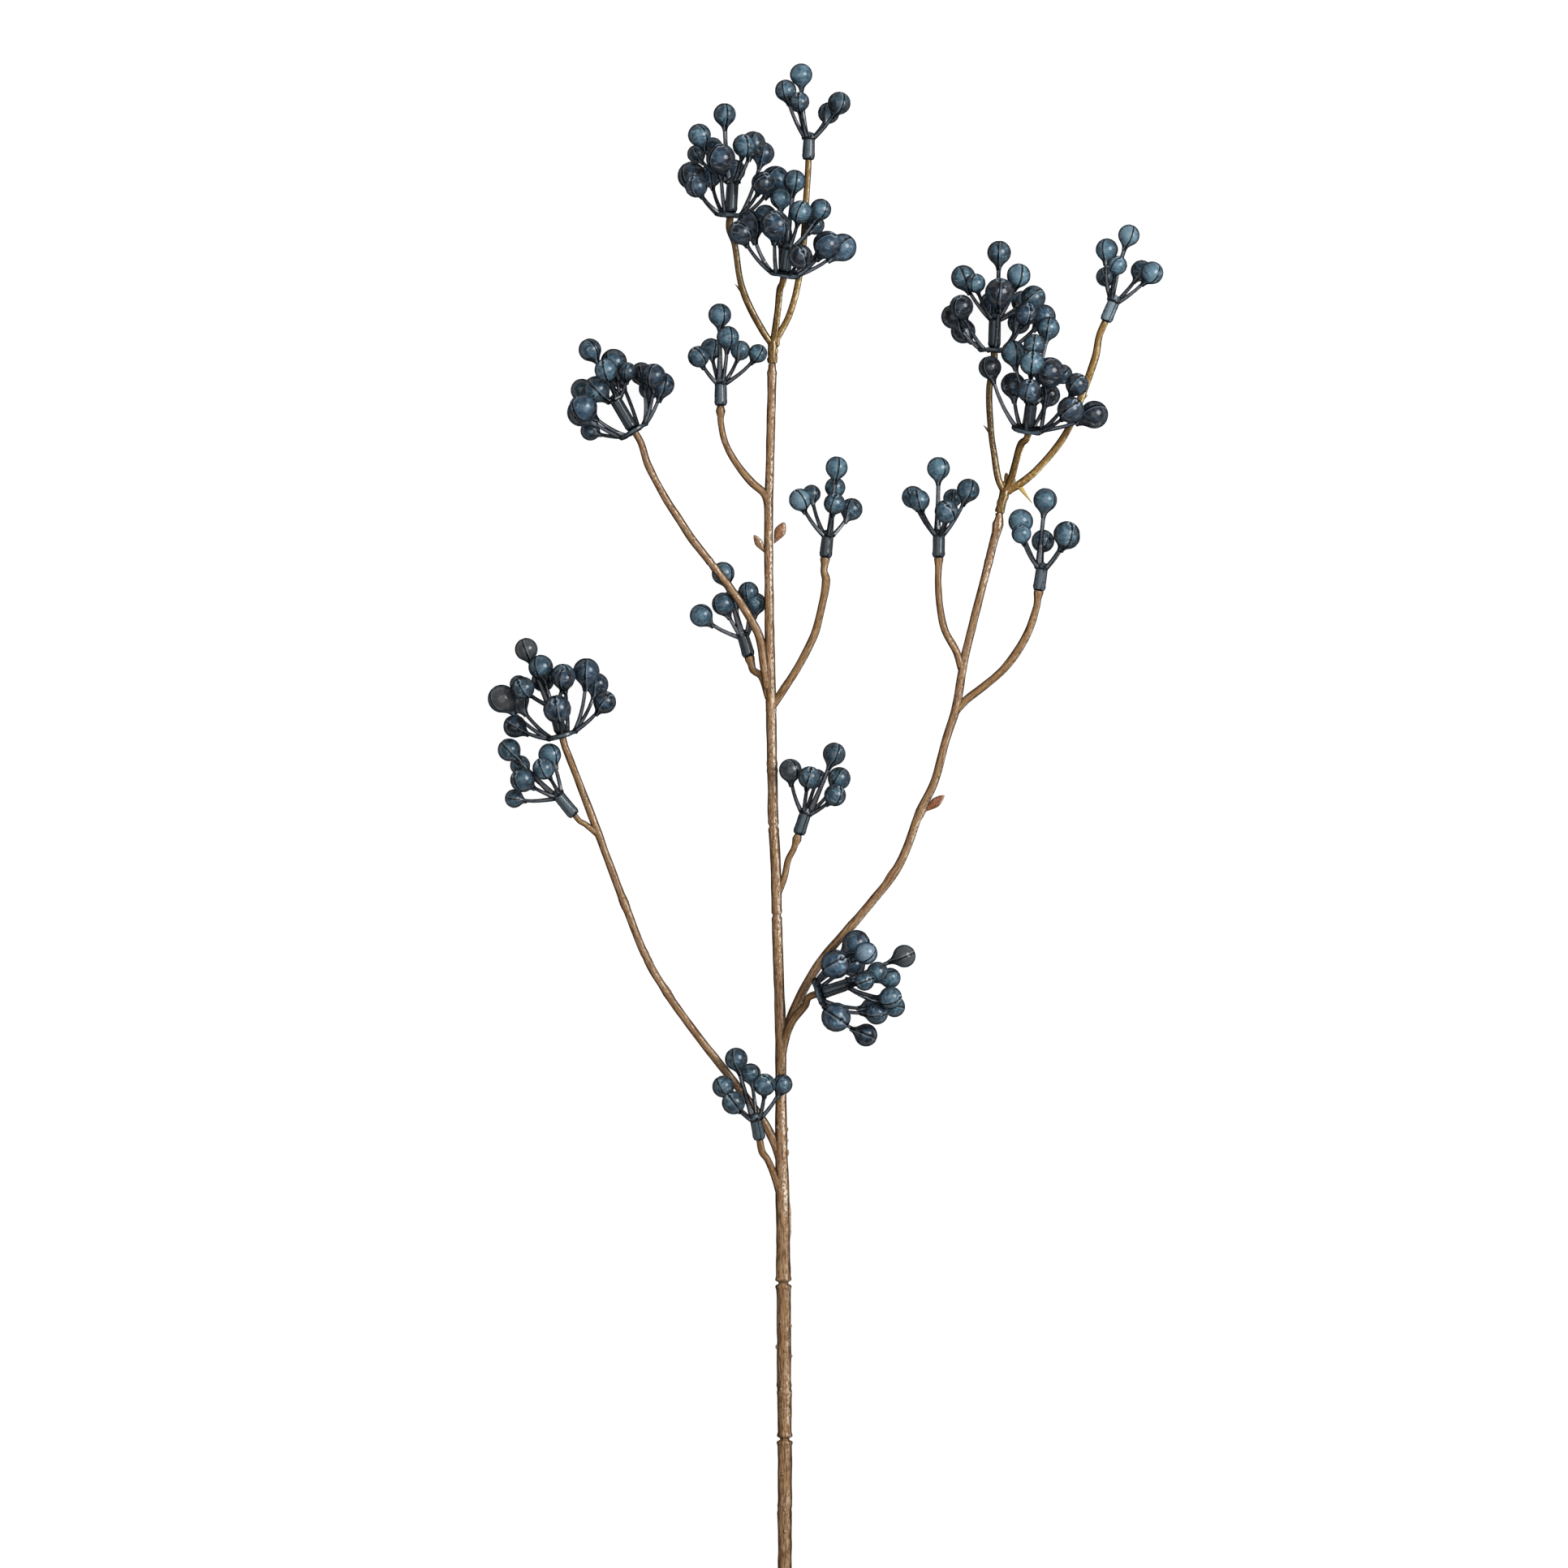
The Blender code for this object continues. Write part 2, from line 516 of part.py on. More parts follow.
def make_whorl(name, hub, axis, table, height, target, repeats):
    def root_of(centre):
        outward = split(centre - hub, axis)[1].normalized()
        return hub + outward * (RING_RADIUS - 1.6 * MM)

    def bend_of(root, centre):
        along, outward = split(centre - root, axis)
        return root + along * 0.3 + outward * 0.62

    base = ring(hub, axis, target)
    add_berries(table, height, root_of, bend_of, repeats, False)
    return fuse(base, repeats, name, "whorl", target)


def bud(base, tip, width, collection):
    # A flat, pointed little leaf bud.
    bm = bmesh.new()
    bmesh.ops.create_uvsphere(bm, u_segments=8, v_segments=4, radius=0.5)
    length = (tip - base).length
    bmesh.ops.scale(bm, vec=(width * MM, 0.62 * width * MM, length * 0.8), verts=bm.verts)
    bmesh.ops.translate(bm, vec=(0, 0, length * 0.4), verts=bm.verts)
    max(bm.verts, key=lambda vert: vert.co.z).co.z = length
    aim(bm, (tip - base).normalized(), base)
    return add_object("bud", mesh_from(bm, "bud"), collection)


def bore(obj, start, axis, depth):
    # A round hole for a fork's pin.
    bm = bmesh.new()
    bmesh.ops.create_cone(bm, cap_ends=True, segments=8, radius1=PIN_RADIUS + FIT_GAP,
                          radius2=PIN_RADIUS + FIT_GAP, depth=depth * 2)
    aim(bm, axis, start)
    cut_with(obj, mesh_from(bm, "bore_cutter"))


def rest_flat(obj):
    # Takes off what would sink below the surface, which leaves small flat spots.
    bm = bmesh.new()
    bmesh.ops.create_cube(bm, size=2.0)
    bmesh.ops.translate(bm, vec=(0, 0, -1.0), verts=bm.verts)
    cut_with(obj, mesh_from(bm, "surface_cutter"))


def cut_with(obj, mesh):
    cutter = add_object("cutter", mesh, bpy.context.scene.collection)
    cut = obj.modifiers.new("cut", "BOOLEAN")
    cut.operation = "DIFFERENCE"
    cut.solver = "MANIFOLD"
    cut.object = cutter
    bpy.context.view_layer.update()
    result = bpy.data.meshes.new_from_object(
        obj.evaluated_get(bpy.context.evaluated_depsgraph_get()))
    obj.modifiers.clear()
    obj.data = result
    bpy.data.objects.remove(cutter, do_unlink=True)


def make_stem(target, repeats):
    trunk = add_collars(smooth_route(knots_of(TRUNK), TRUNK_SAMPLE_LENGTH), TRUNK_COLLARS)
    base = tube("trunk", [p for p, r in trunk], [r for p, r in trunk], TRUNK_SIDES, target)
    carrier("left_lower", LEFT_BRANCH, BRANCH_SIDES, repeats, LEFT_COLLARS)
    carrier("left", MIDDLE_BRANCH, BRANCH_SIDES, repeats, MIDDLE_COLLARS)
    right = add_collars(smooth_route(knots_of(RIGHT_BRANCH), SAMPLE_LENGTH), RIGHT_COLLARS)
    tube("right_branch", [p for p, r in right], [r for p, r in right], BRANCH_SIDES, repeats)
    for name, parts in list(SPRAYS.items()) + list(HEADS.items()):
        if "twig" in parts:
            carrier(name, parts["twig"], TWIG_SIDES, repeats)
    for base_place, tip_place, width in BUDS.values():
        bud(place(*base_place), place(*tip_place), width, repeats)
    stem = fuse(base, repeats, "stem", "stem", target)
    for table, fork in ((TRUNK, FORKS["fork_top"]), (RIGHT_BRANCH, FORKS["fork_right"])):
        end = place(*table[-1][:3])
        axis = (place(*fork["crotch"]) - place(*fork["foot"])).normalized()
        bore(stem, end, axis, PIN_LENGTH + FIT_GAP)
    return stem


def make_fork(name, parts, table, target, repeats):
    end = place(*table[-1][:3])
    crotch = place(*parts["crotch"])
    axis = (crotch - place(*parts["foot"])).normalized()
    foot = end + axis * FIT_GAP
    radius = parts["width"] / 2 * MM
    base = tube("pin", [end - axis * PIN_LENGTH, foot, foot + axis * 0.05 * MM,
                        foot.lerp(crotch, 0.5), crotch, crotch + axis * 1.5 * MM],
                [PIN_RADIUS, PIN_RADIUS, radius * 1.1, radius, radius * 1.25, radius * 0.9],
                TRUNK_SIDES, target)
    for end_name, table in parts["prongs"].items():
        knots = [(parts["crotch"][0], parts["crotch"][1] + 2, parts["crotch"][2], 3.0)] + table
        carrier(end_name, knots, TWIG_SIDES, repeats)
    return fuse(base, repeats, name, "fork", target)


def build():
    clear_scene()
    target = bpy.data.collections.new("blueberry_sprig")
    repeats = bpy.data.collections.new("repeats")
    bpy.context.scene.collection.children.link(target)
    bpy.context.scene.collection.children.link(repeats)
    pieces = [make_stem(target, repeats)]
    pieces.append(make_fork("fork_top", FORKS["fork_top"], TRUNK, target, repeats))
    pieces.append(make_fork("fork_right", FORKS["fork_right"], RIGHT_BRANCH, target, repeats))
    for name, parts in SPRAYS.items():
        mouth, knuckle = place(*parts["mouth"]), place(*parts["knuckle"])
        pieces.append(make_spray(name, mouth, knuckle, parts["berries"], parts["knuckle"][2],
                                 target, repeats))
    for name, parts in HEADS.items():
        mouth, axis = fit_of(name)
        hub, knuckle = place(*parts["hub"]), place(*parts["knuckle"])
        height = parts["hub"][2]
        pieces.append(make_whorl("whorl_" + name, hub, axis, parts["lower"], height,
                                 target, repeats))
        pieces.append(make_spray("spray_" + name, mouth, knuckle, parts["upper"], height,
                                 target, repeats))
    for piece in pieces:
        if min(vert.co.z for vert in piece.data.vertices) < 0:
            rest_flat(piece)
        piece.data.shade_smooth()
        piece.data.set_sharp_from_angle(angle=pi / 4)
    bpy.data.collections.remove(repeats)


build()
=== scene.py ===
import bmesh
import bpy
import json
import random
from math import atan2, cos, pi, radians, sin
from mathutils import Matrix, Vector, noise
from mathutils.geometry import interpolate_bezier

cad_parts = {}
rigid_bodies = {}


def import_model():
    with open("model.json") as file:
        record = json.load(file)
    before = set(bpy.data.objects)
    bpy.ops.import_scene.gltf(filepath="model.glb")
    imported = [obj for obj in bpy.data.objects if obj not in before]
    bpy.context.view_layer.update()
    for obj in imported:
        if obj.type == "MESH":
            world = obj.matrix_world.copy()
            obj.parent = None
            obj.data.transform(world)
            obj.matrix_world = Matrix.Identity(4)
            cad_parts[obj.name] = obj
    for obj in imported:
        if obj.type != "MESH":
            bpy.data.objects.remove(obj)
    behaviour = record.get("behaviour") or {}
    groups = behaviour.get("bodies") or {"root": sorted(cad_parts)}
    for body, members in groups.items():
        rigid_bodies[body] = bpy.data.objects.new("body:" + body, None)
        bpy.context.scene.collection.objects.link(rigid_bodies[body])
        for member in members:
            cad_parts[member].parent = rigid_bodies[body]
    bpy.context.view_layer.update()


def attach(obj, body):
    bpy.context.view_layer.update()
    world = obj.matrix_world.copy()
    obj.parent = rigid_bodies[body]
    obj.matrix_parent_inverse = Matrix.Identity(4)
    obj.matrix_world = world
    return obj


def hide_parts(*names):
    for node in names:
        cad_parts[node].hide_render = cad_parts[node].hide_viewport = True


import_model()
mm = 0.001

# The places below are counted on a grid over the front view, right and down from
# a corner. Heights over the table, widths and radii are in millimetres.
grid = dict(step=0.36 * mm, right=1016.95, down=1055.11)


def place(right, down, height):
    return Vector(((right - grid["right"]) * grid["step"], (grid["down"] - down) * grid["step"],
                   height * mm))


# Meshes

weldWithin = 0.002 * mm
# The direction toward the key lamp, where painted highlights go on stems and forks.
brightSide = (0.9, 0.43)


def addObject(name, data, collection):
    obj = bpy.data.objects.new(name, data)
    collection.objects.link(obj)
    return obj


def painted(bm, name, rule, collection):
    # Writes the pattern's coordinates and the marks on the corners of the faces.
    grain = bm.loops.layers.float_vector.new("grain")
    marks = bm.loops.layers.float_color.new("marks")
    bm.normal_update()
    for face in bm.faces:
        face.smooth = True
        for loop in face.loops:
            loop[grain], loop[marks] = rule(loop.vert)
    mesh = bpy.data.meshes.new(name)
    bm.to_mesh(mesh)
    bm.free()
    return addObject(name, mesh, collection)


def aim(axis, origin):
    return Matrix.Translation(origin) @ axis.to_track_quat("Z", "Y").to_matrix().to_4x4()


def turned(profile, sides):
    # A closed body from a profile of (radius, height), turned about Z.
    bm = bmesh.new()
    verts = [bm.verts.new((radius, 0, height)) for radius, height in profile]
    edges = [bm.edges.new(pair) for pair in zip(verts, verts[1:])]
    if profile[0][0] > 0:
        edges.append(bm.edges.new((verts[-1], verts[0])))
    bmesh.ops.spin(bm, geom=verts + edges, cent=(0, 0, 0), axis=(0, 0, 1), dvec=(0, 0, 0),
                   angle=2 * pi, steps=sides, use_merge=True)
    bmesh.ops.remove_doubles(bm, verts=bm.verts, dist=weldWithin)
    bmesh.ops.recalc_face_normals(bm, faces=bm.faces)
    return bm


def smoothRoute(knots, spacing):
    # Points along a smooth curve through the knots (position, radius).
    places = [knot[0] for knot in knots]
    route = [knots[0]]
    for i in range(len(knots) - 1):
        start, end = places[i], places[i + 1]
        before = places[max(i - 1, 0)]
        after = places[min(i + 2, len(places) - 1)]
        span = (end - start).length
        lead = (end - before).normalized() * span / 3
        trail = (after - start).normalized() * span / 3
        steps = max(1, round(span / spacing))
        arc = interpolate_bezier(start, start + lead, end - trail, end, steps + 1)
        for step in range(1, steps + 1):
            share = step / steps
            radius = knots[i][1] * (1 - share) + knots[i + 1][1] * share
            route.append((arc[step], radius))
    return route


def barkMarks(vert, tone):
    # The first mark is how far a face looks up, for painted shade down the sides; the second is how
    # far it turns toward the key lamp, for a painted highlight.
    side = vert.normal.x * brightSide[0] + vert.normal.y * brightSide[1]
    return max(0, vert.normal.z), side, 3, tone


def tube(name, route, look, collection, tone=0.5):
    # A ring is drawn out along the route (position, radius), then both ends close. The
    # tone is a number, or a rule that takes a position.
    points = [point for point, radius in route]
    directions = [(after - before).normalized()
                  for before, after in zip(points[:1] + points[:-1], points[1:] + points[-1:])]
    bm = bmesh.new()
    ringPlace = bm.verts.layers.float_vector.new("ringPlace")
    bmesh.ops.create_circle(bm, cap_ends=False, segments=look["sides"], radius=1)
    turn = directions[0].to_track_quat("Z", "Y")
    pose = Matrix.Translation(points[0]) @ turn.to_matrix().to_4x4() @ Matrix.Scale(route[0][1], 4)
    ring = list(bm.edges)
    rings = [list(bm.verts)]
    bmesh.ops.transform(bm, matrix=pose, verts=bm.verts)
    poses = [pose]
    for (point, radius), before, after in zip(route[1:], directions, directions[1:]):
        drawn = bmesh.ops.extrude_edge_only(bm, edges=ring)["geom"]
        verts = [item for item in drawn if isinstance(item, bmesh.types.BMVert)]
        ends = set(verts)
        ring = [item for item in drawn if isinstance(item, bmesh.types.BMEdge)
                and item.verts[0] in ends and item.verts[1] in ends]
        turn = before.rotation_difference(after) @ turn
        fresh = (Matrix.Translation(point) @ turn.to_matrix().to_4x4()
                 @ Matrix.Scale(radius, 4))
        bmesh.ops.transform(bm, matrix=fresh @ pose.inverted(), verts=verts)
        pose = fresh
        poses.append(pose)
        rings.append(verts)
    along = 0.0
    for index, (verts, pose) in enumerate(zip(rings, poses)):
        if index:
            along += (points[index] - points[index - 1]).length
        back = pose.inverted()
        for vert in verts:
            local = back @ vert.co
            vert[ringPlace] = (local.x, local.y, along / mm)
            ripple = noise.noise(Vector((local.x * look["ripples"], local.y * look["ripples"],
                                         along / look["rippleLength"] + look["offset"])))
            knob = noise.noise(Vector((local.x, local.y, along / look["knobLength"]
                                       + look["offset"] + 40)))
            swell = 1 + look["rippleDepth"] * ripple + look["knobDepth"] * knob
            swell += look["flash"] * max(0, abs(local.x) * 2.4 - 1.4)  # where the mould parts
            vert.co = pose @ (local * swell)
    for verts in (rings[0], rings[-1]):
        edges = [edge for vert in verts for edge in vert.link_edges if edge.is_boundary]
        bmesh.ops.edgeloop_fill(bm, edges=list(dict.fromkeys(edges)))
    bmesh.ops.recalc_face_normals(bm, faces=bm.faces)

    def rule(vert):
        x, y, run = vert[ringPlace]
        return (x, y, run * look["grainRun"] + look["offset"] * 3.7), barkMarks(
            vert, tone(vert.co) if callable(tone) else tone)

    return painted(bm, name, rule, collection)


def join(base, repeats, name, sharp):
    # One union joins the repeats to the base, which becomes the finished mesh.
    union = base.modifiers.new("join", "BOOLEAN")
    union.operation = "UNION"
    union.operand_type = "COLLECTION"
    union.collection = repeats
    union.solver = "MANIFOLD"
    bpy.context.view_layer.update()
    mesh = bpy.data.meshes.new_from_object(
        base.evaluated_get(bpy.context.evaluated_depsgraph_get()))
    mesh.name = name
    for obj in list(repeats.objects):
        bpy.data.objects.remove(obj, do_unlink=True)
    bpy.data.objects.remove(base, do_unlink=True)
    mesh.shade_smooth()
    mesh.set_sharp_from_angle(angle=radians(sharp))
    return addObject(name, mesh, bpy.context.scene.collection)


def finishPiece(piece, node, finish):
    for vert in piece.data.vertices:
        vert.co.z = max(vert.co.z, 0)      # what rests on the table has a small flat spot
    piece.data.materials.clear()
    piece.data.materials.append(finish)
    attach(piece, "root")
    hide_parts(node)


# Materials

class Wire:
    # A node's output that can be used in sums.
    def __init__(self, nodes, socket):
        self.nodes = nodes
        self.socket = socket

    def maths(self, operation, *values):
        return self.nodes.add("ShaderNodeMath", dict(operation=operation), dict(enumerate(values)))

    def __add__(self, other):
        return self.maths("ADD", self, other)

    def __sub__(self, other):
        return self.maths("SUBTRACT", self, other)

    def __rsub__(self, other):
        return self.maths("SUBTRACT", other, self)

    def __mul__(self, other):
        return self.maths("MULTIPLY", self, other)

    def __gt__(self, other):
        return self.maths("GREATER_THAN", self, other)

    def __abs__(self):
        return self.maths("ABSOLUTE", self)

    __radd__ = __add__
    __rmul__ = __mul__


class Nodes:
    # A node tree, with the steps that its patterns are built from.
    def __init__(self, tree):
        self.tree = tree

    def set(self, node, sockets):
        for name, value in sockets.items():
            if isinstance(value, Wire):
                self.tree.links.new(value.socket, node.inputs[name])
            else:
                node.inputs[name].default_value = value

    def add(self, kind, settings, sockets, output=0):
        node = self.tree.nodes.new(kind)
        for name, value in settings.items():
            setattr(node, name, value)
        self.set(node, sockets)
        return Wire(self, node.outputs[output])

    def grain(self, scale):
        # The piece's own coordinates, stretched.
        source = self.add("ShaderNodeAttribute", dict(attribute_name="grain"), {}, "Vector")
        return self.add("ShaderNodeVectorMath", dict(operation="MULTIPLY"), {0: source, 1: scale})

    def marks(self):
        # The four marks that painted wrote.
        source = self.add("ShaderNodeAttribute", dict(attribute_name="marks"), {}, "Color")
        alpha = Wire(self, source.socket.node.outputs["Alpha"])
        parts = self.add("ShaderNodeSeparateColor", {}, {0: source}).socket.node
        return [Wire(self, parts.outputs[i]) for i in range(3)] + [alpha]

    def cloud(self, place, scale, detail=3.0, roughness=0.5, distortion=0.0):
        return self.add("ShaderNodeTexNoise", {}, dict(
            Vector=place, Scale=scale, Detail=detail, Roughness=roughness,
            Distortion=distortion), "Fac")

    def between(self, value, low, high):
        # 0 up to the low value, 1 from the high one.
        return self.add("ShaderNodeMapRange", dict(interpolation_type="SMOOTHSTEP"),
                        {"Value": value, "From Min": low, "From Max": high})

    def strip(self, value, rise, full, fade, end):
        # 1 from full to fade, and 0 outside rise and end.
        return self.between(value, rise, full) * (1 - self.between(value, fade, end))

    def blend(self, factor, first, second):
        return self.add("ShaderNodeMix", dict(data_type="RGBA"),
                        {0: factor, 6: rgba(first), 7: rgba(second)}, 2)

    def bump(self, height, strength, distance):
        return self.add("ShaderNodeBump", {},
                        dict(Height=height, Strength=strength, Distance=distance))


class Finish(Nodes):
    # A material with one shader.
    def __init__(self, name):
        self.material = bpy.data.materials.new(name)
        self.material.use_nodes = True
        super().__init__(self.material.node_tree)

    def shade(self, sockets):
        self.set(self.tree.nodes["Principled BSDF"], sockets)
        return self.material


def rgba(colour):
    return (*colour, 1) if isinstance(colour, tuple) else colour


def berryFinish(name, look):
    # up: how far a face looks up, which paints light on top and shade down the sides;
    # line: how far a point is from the seam; pole: 0 at a berry's tip, 2 at its neck,
    # 3 on stalks and 5 on sleeves and rings
    paint = Finish(name)
    between, strip, blend, cloud = paint.between, paint.strip, paint.blend, paint.cloud
    up, line, pole, tone = paint.marks()
    patch = cloud(paint.grain((1, 1, 1)), 1.25, 3, 0.55, 1.3)
    brush = cloud(paint.grain((1.0, 1.0, 2.6)), 1.2, 3, 0.55, 1.4)
    speck = cloud(paint.grain((1, 1, 1)), 5.0, 3, 0.6, 0.6)

    # painted light and shade: blue, then teal, on what looks up, so each berry is painted lighter
    # on top and darker down its sides
    shade = up * look["upShare"] + (patch - 0.5) * look["patch"] + (tone - 0.5) * look["spread"]
    rich = shade + (brush - 0.5) * 1.6
    colour = blend(between(brush, 0.38, 0.62), look["dark"], look["brown"])
    colour = blend(between(shade, look["blueFrom"], look["blueFrom"] + 0.5), colour, look["blue"])
    colour = blend(between(rich, look["tealFrom"], look["tealFrom"] + 0.6) * 0.9, colour,
                   look["teal"])

    # pale strokes and the colour of the palest and the greyest berries, laid only on what looks up
    # as painted light; dark specks
    stroke = between(brush, 0.61, 0.70) * between(up, 0.35, 0.85)
    bright = between(tone, 0.8, 1.0) * between(up, 0.4, 0.9) * 0.45
    colour = blend(stroke * 0.55 + bright, colour, look["pale"])
    grey = (1 - between(tone, 0.0, 0.1)) * between(up, 0.3, 0.8) * 0.8
    colour = blend(grey, colour, look["grey"])
    colour = blend(between(speck, 0.58, 0.70) * 0.5, colour, look["dark"])

    # painted shade: the sides and the back go dark, with grey flecks and blue patches in places
    shadedSides = blend(between(speck + brush, 0.96, 1.16), look["dark"], look["shadedSides"])
    shadedSides = blend(between(patch, 0.40, 0.58) * 0.75, shadedSides, look["blue"])
    colour = blend(between(up, 0.20, 0.70), shadedSides, colour)

    # stalks, sleeves and rings: a painted highlight along the top of each stalk over its dark
    # sides; sleeves and rings darker in worn specks and painted shade down their sides
    ridge = between(up + (brush - 0.5) * 0.7, 0.72, 1.0)
    colour = blend(between(pole, 1.6, 1.85), colour,
                   blend(ridge, look["stalkDark"], look["stalkHighlight"]))
    wornAndLit = between(speck * 0.8 + patch * 0.5 + up * 0.5, 0.82, 1.12)
    wornAndLit = wornAndLit * (between(tone, 0.1, 0.5) * 0.6 + 0.4)
    cloth = blend(between(tone, 0.65, 1.0) * 0.5, look["sleeve"], look["pale"])
    colour = blend(pole > 4, colour, blend(wornAndLit, look["sleeveDark"], cloth))

    # the seam and the dimple, with pale edges beside the seam's step and round the dimple as a
    # painted highlight on what looks up; a stalk has no seam
    line = line + strip(pole, 2.5, 2.9, 3.1, 3.5) * 9
    edges = strip(line, 0.09, 0.12, 0.14, 0.20) * 0.5 + strip(pole, 0.11, 0.14, 0.18, 0.23)
    colour = blend(edges * between(up, 0.2, 0.6) * 0.6, colour, look["pale"])
    seam = 1 - between(abs(line + (speck - 0.5) * 0.06), 0.06, 0.11)
    dimple = 1 - between(pole, 0.06, 0.11)
    colour = blend(seam.maths("MAXIMUM", seam, dimple) * 0.95, colour, look["seam"])

    return paint.shade({
        "Base Color": colour, "Roughness": between(speck, 0.3, 0.7) * 0.14 + look["rough"],
        "Normal": paint.bump(speck * 0.4 + brush - seam * 0.6, 0.45, 0.12 * mm),
        "Specular IOR Level": 0.0, "Coat Roughness": look["rough"], "Coat IOR": 1.6,
        "Coat Weight": between(up, 0.40, 0.75) * look["gloss"]})


def stemFinish(name, look):
    # up: how far a face looks up, for painted shade down the sides; side: how far a face
    # turns toward the key lamp, for a painted highlight; a higher tone is more pebbled, then
    # redder, and past 1 it is the flash's
    paint = Finish(name)
    between, strip, blend, cloud = paint.between, paint.strip, paint.blend, paint.cloud
    up, side, _, tone = paint.marks()
    fibre = cloud(paint.grain((1.3, 1.3, 0.30)), 2.0, 4, 0.62, 0.3)
    patch = cloud(paint.grain((0.4, 0.4, 0.10)), 2.0, 3, 0.55)
    pebble = cloud(paint.grain((1.8, 1.8, 0.80)), 2.3, 2, 0.5, 0.4)
    ridge = cloud(paint.grain((1.8, 1.8, 0.13)), 2.0, 2, 0.5, 0.3)
    thread = cloud(paint.grain((4.2, 4.2, 0.20)), 2.0, 2, 0.5, 0.2)
    rugged = between(cloud(paint.grain((0.1, 0.1, 0.06)), 1.0, 2, 0.5), 0.42, 0.58)
    rugged = rugged * (0.3 + between(tone, 0.2, 0.45) * 0.4) + between(tone, 0.43, 0.5) * 0.3

    # painted shade: the bark's colour on top, going to a painted shaded colour down the sides
    lit = between(up + (fibre - 0.5) * 0.7, look["litFrom"], look["litFrom"] + 0.5)
    top = blend(between(patch, 0.52, 0.64), look["light"], look["warm"])
    top = blend(1 - between(patch, 0.34, 0.46), top, look["gold"])
    top = blend((1 - between(tone, 0.1, 0.5)) * 0.7, top, look["gold"])
    top = blend(between(tone, 0.5, 1.0), top, look["young"])
    colour = blend(lit, look["shaded"], top)

    # furrows and threads along it, a painted sheen on the threads that look up, and pits
    furrow = 1 - between(abs(ridge - 0.5), 0.02, 0.08)
    colour = blend(furrow * (1 - rugged * 0.5) * look["furrows"], colour, look["pit"])
    shine = between(thread, 0.50, 0.66) * between(up, 0.35, 0.8) * look["threadsAndSheen"]
    colour = blend((1 - between(thread, 0.34, 0.50)) * look["threadsAndSheen"], colour, look["pit"])
    colour = blend(shine, colour, look["pale"])
    pit = 1 - between(pebble, 0.30, 0.48)
    colour = blend(pit * (rugged * 0.45 + 0.12), colour, look["pit"])

    # painted highlights: a broken bright line down the side toward the key lamp, and a few glinting
    # flecks on top
    band = strip(side, 0.12, 0.30, 0.48, 0.70) * (between(tone, 0.34, 0.5) * 0.5 + 0.5)
    broken = between(pebble, 0.42, 0.62) * (rugged * 0.6 + look["glintBeads"])
    streak = between(ridge, 0.49, 0.64) * look["glintStreaks"]
    fleck = between(pebble, 0.54, 0.62) * between(up, 0.6, 0.9) * rugged * 0.25
    colour = blend(band * (broken + streak) + fleck, colour, look["glint"])
    colour = blend(between(tone, 1.05, 1.2), colour, look["flash"])

    relief = fibre * 0.5 + thread * 0.5 + pebble * (rugged * 0.8 + 0.2) - furrow * 0.5
    gloss = between(up, 0.50, 0.85) * (between(pebble, 0.44, 0.58) * 0.6 + 0.4)
    return paint.shade({
        "Base Color": colour, "Roughness": between(pebble, 0.3, 0.7) * 0.15 + look["rough"],
        "Normal": paint.bump(relief, look["bump"], 0.2 * mm), "Specular IOR Level": 0.0,
        "Coat Roughness": look["rough"], "Coat IOR": 1.6, "Coat Weight": gloss * look["gloss"]})


barkLook = dict(
    shaded=(0.062, 0.031, 0.013), light=(0.39, 0.218, 0.106), warm=(0.34, 0.152, 0.070),
    gold=(0.37, 0.194, 0.060), glint=(0.98, 0.88, 0.72), pit=(0.055, 0.026, 0.008),
    young=(0.34, 0.095, 0.040), flash=(0.34, 0.095, 0.040), pale=(0.60, 0.40, 0.25),
    furrows=0.65, threadsAndSheen=0.45, glintBeads=0.25, glintStreaks=0.25, rough=0.22, bump=0.6, gloss=0.42,
    litFrom=0.48)
ochreLook = dict(
    shaded=(0.036, 0.019, 0.006), light=(0.19, 0.097, 0.027), warm=(0.120, 0.055, 0.014),
    gold=(0.24, 0.125, 0.031), glint=(0.95, 0.79, 0.46), pit=(0.032, 0.015, 0.004),
    young=(0.31, 0.162, 0.036), flash=(0.66, 0.47, 0.17), pale=(0.42, 0.26, 0.10),
    furrows=0.40, threadsAndSheen=0.30, glintBeads=0.12, glintStreaks=0.60, rough=0.20, bump=0.5, gloss=0.5,
    litFrom=0.48)
sprayLook = dict(
    dark=(0.007, 0.010, 0.013), brown=(0.038, 0.043, 0.048), blue=(0.043, 0.080, 0.113),
    teal=(0.125, 0.230, 0.300), pale=(0.34, 0.45, 0.52), seam=(0.001, 0.002, 0.003),
    shadedSides=(0.090, 0.094, 0.100), grey=(0.088, 0.092, 0.096), stalkDark=(0.008, 0.010, 0.014),
    stalkHighlight=(0.13, 0.15, 0.175), sleeveDark=(0.012, 0.015, 0.019),
    sleeve=(0.077, 0.108, 0.132), upShare=1.1, patch=1.6, spread=1.0, blueFrom=0.40,
    tealFrom=0.76, rough=0.19, gloss=0.65)
whorlLook = dict(
    sprayLook, dark=(0.007, 0.009, 0.013), brown=(0.036, 0.039, 0.045),
    blue=(0.040, 0.074, 0.116), teal=(0.098, 0.182, 0.258), pale=(0.34, 0.44, 0.54),
    shadedSides=(0.078, 0.080, 0.086), stalkHighlight=(0.13, 0.15, 0.185),
    sleeveDark=(0.012, 0.016, 0.020), sleeve=(0.078, 0.118, 0.150), upShare=1.0, patch=1.8,
    spread=1.1, blueFrom=0.46, tealFrom=0.86)
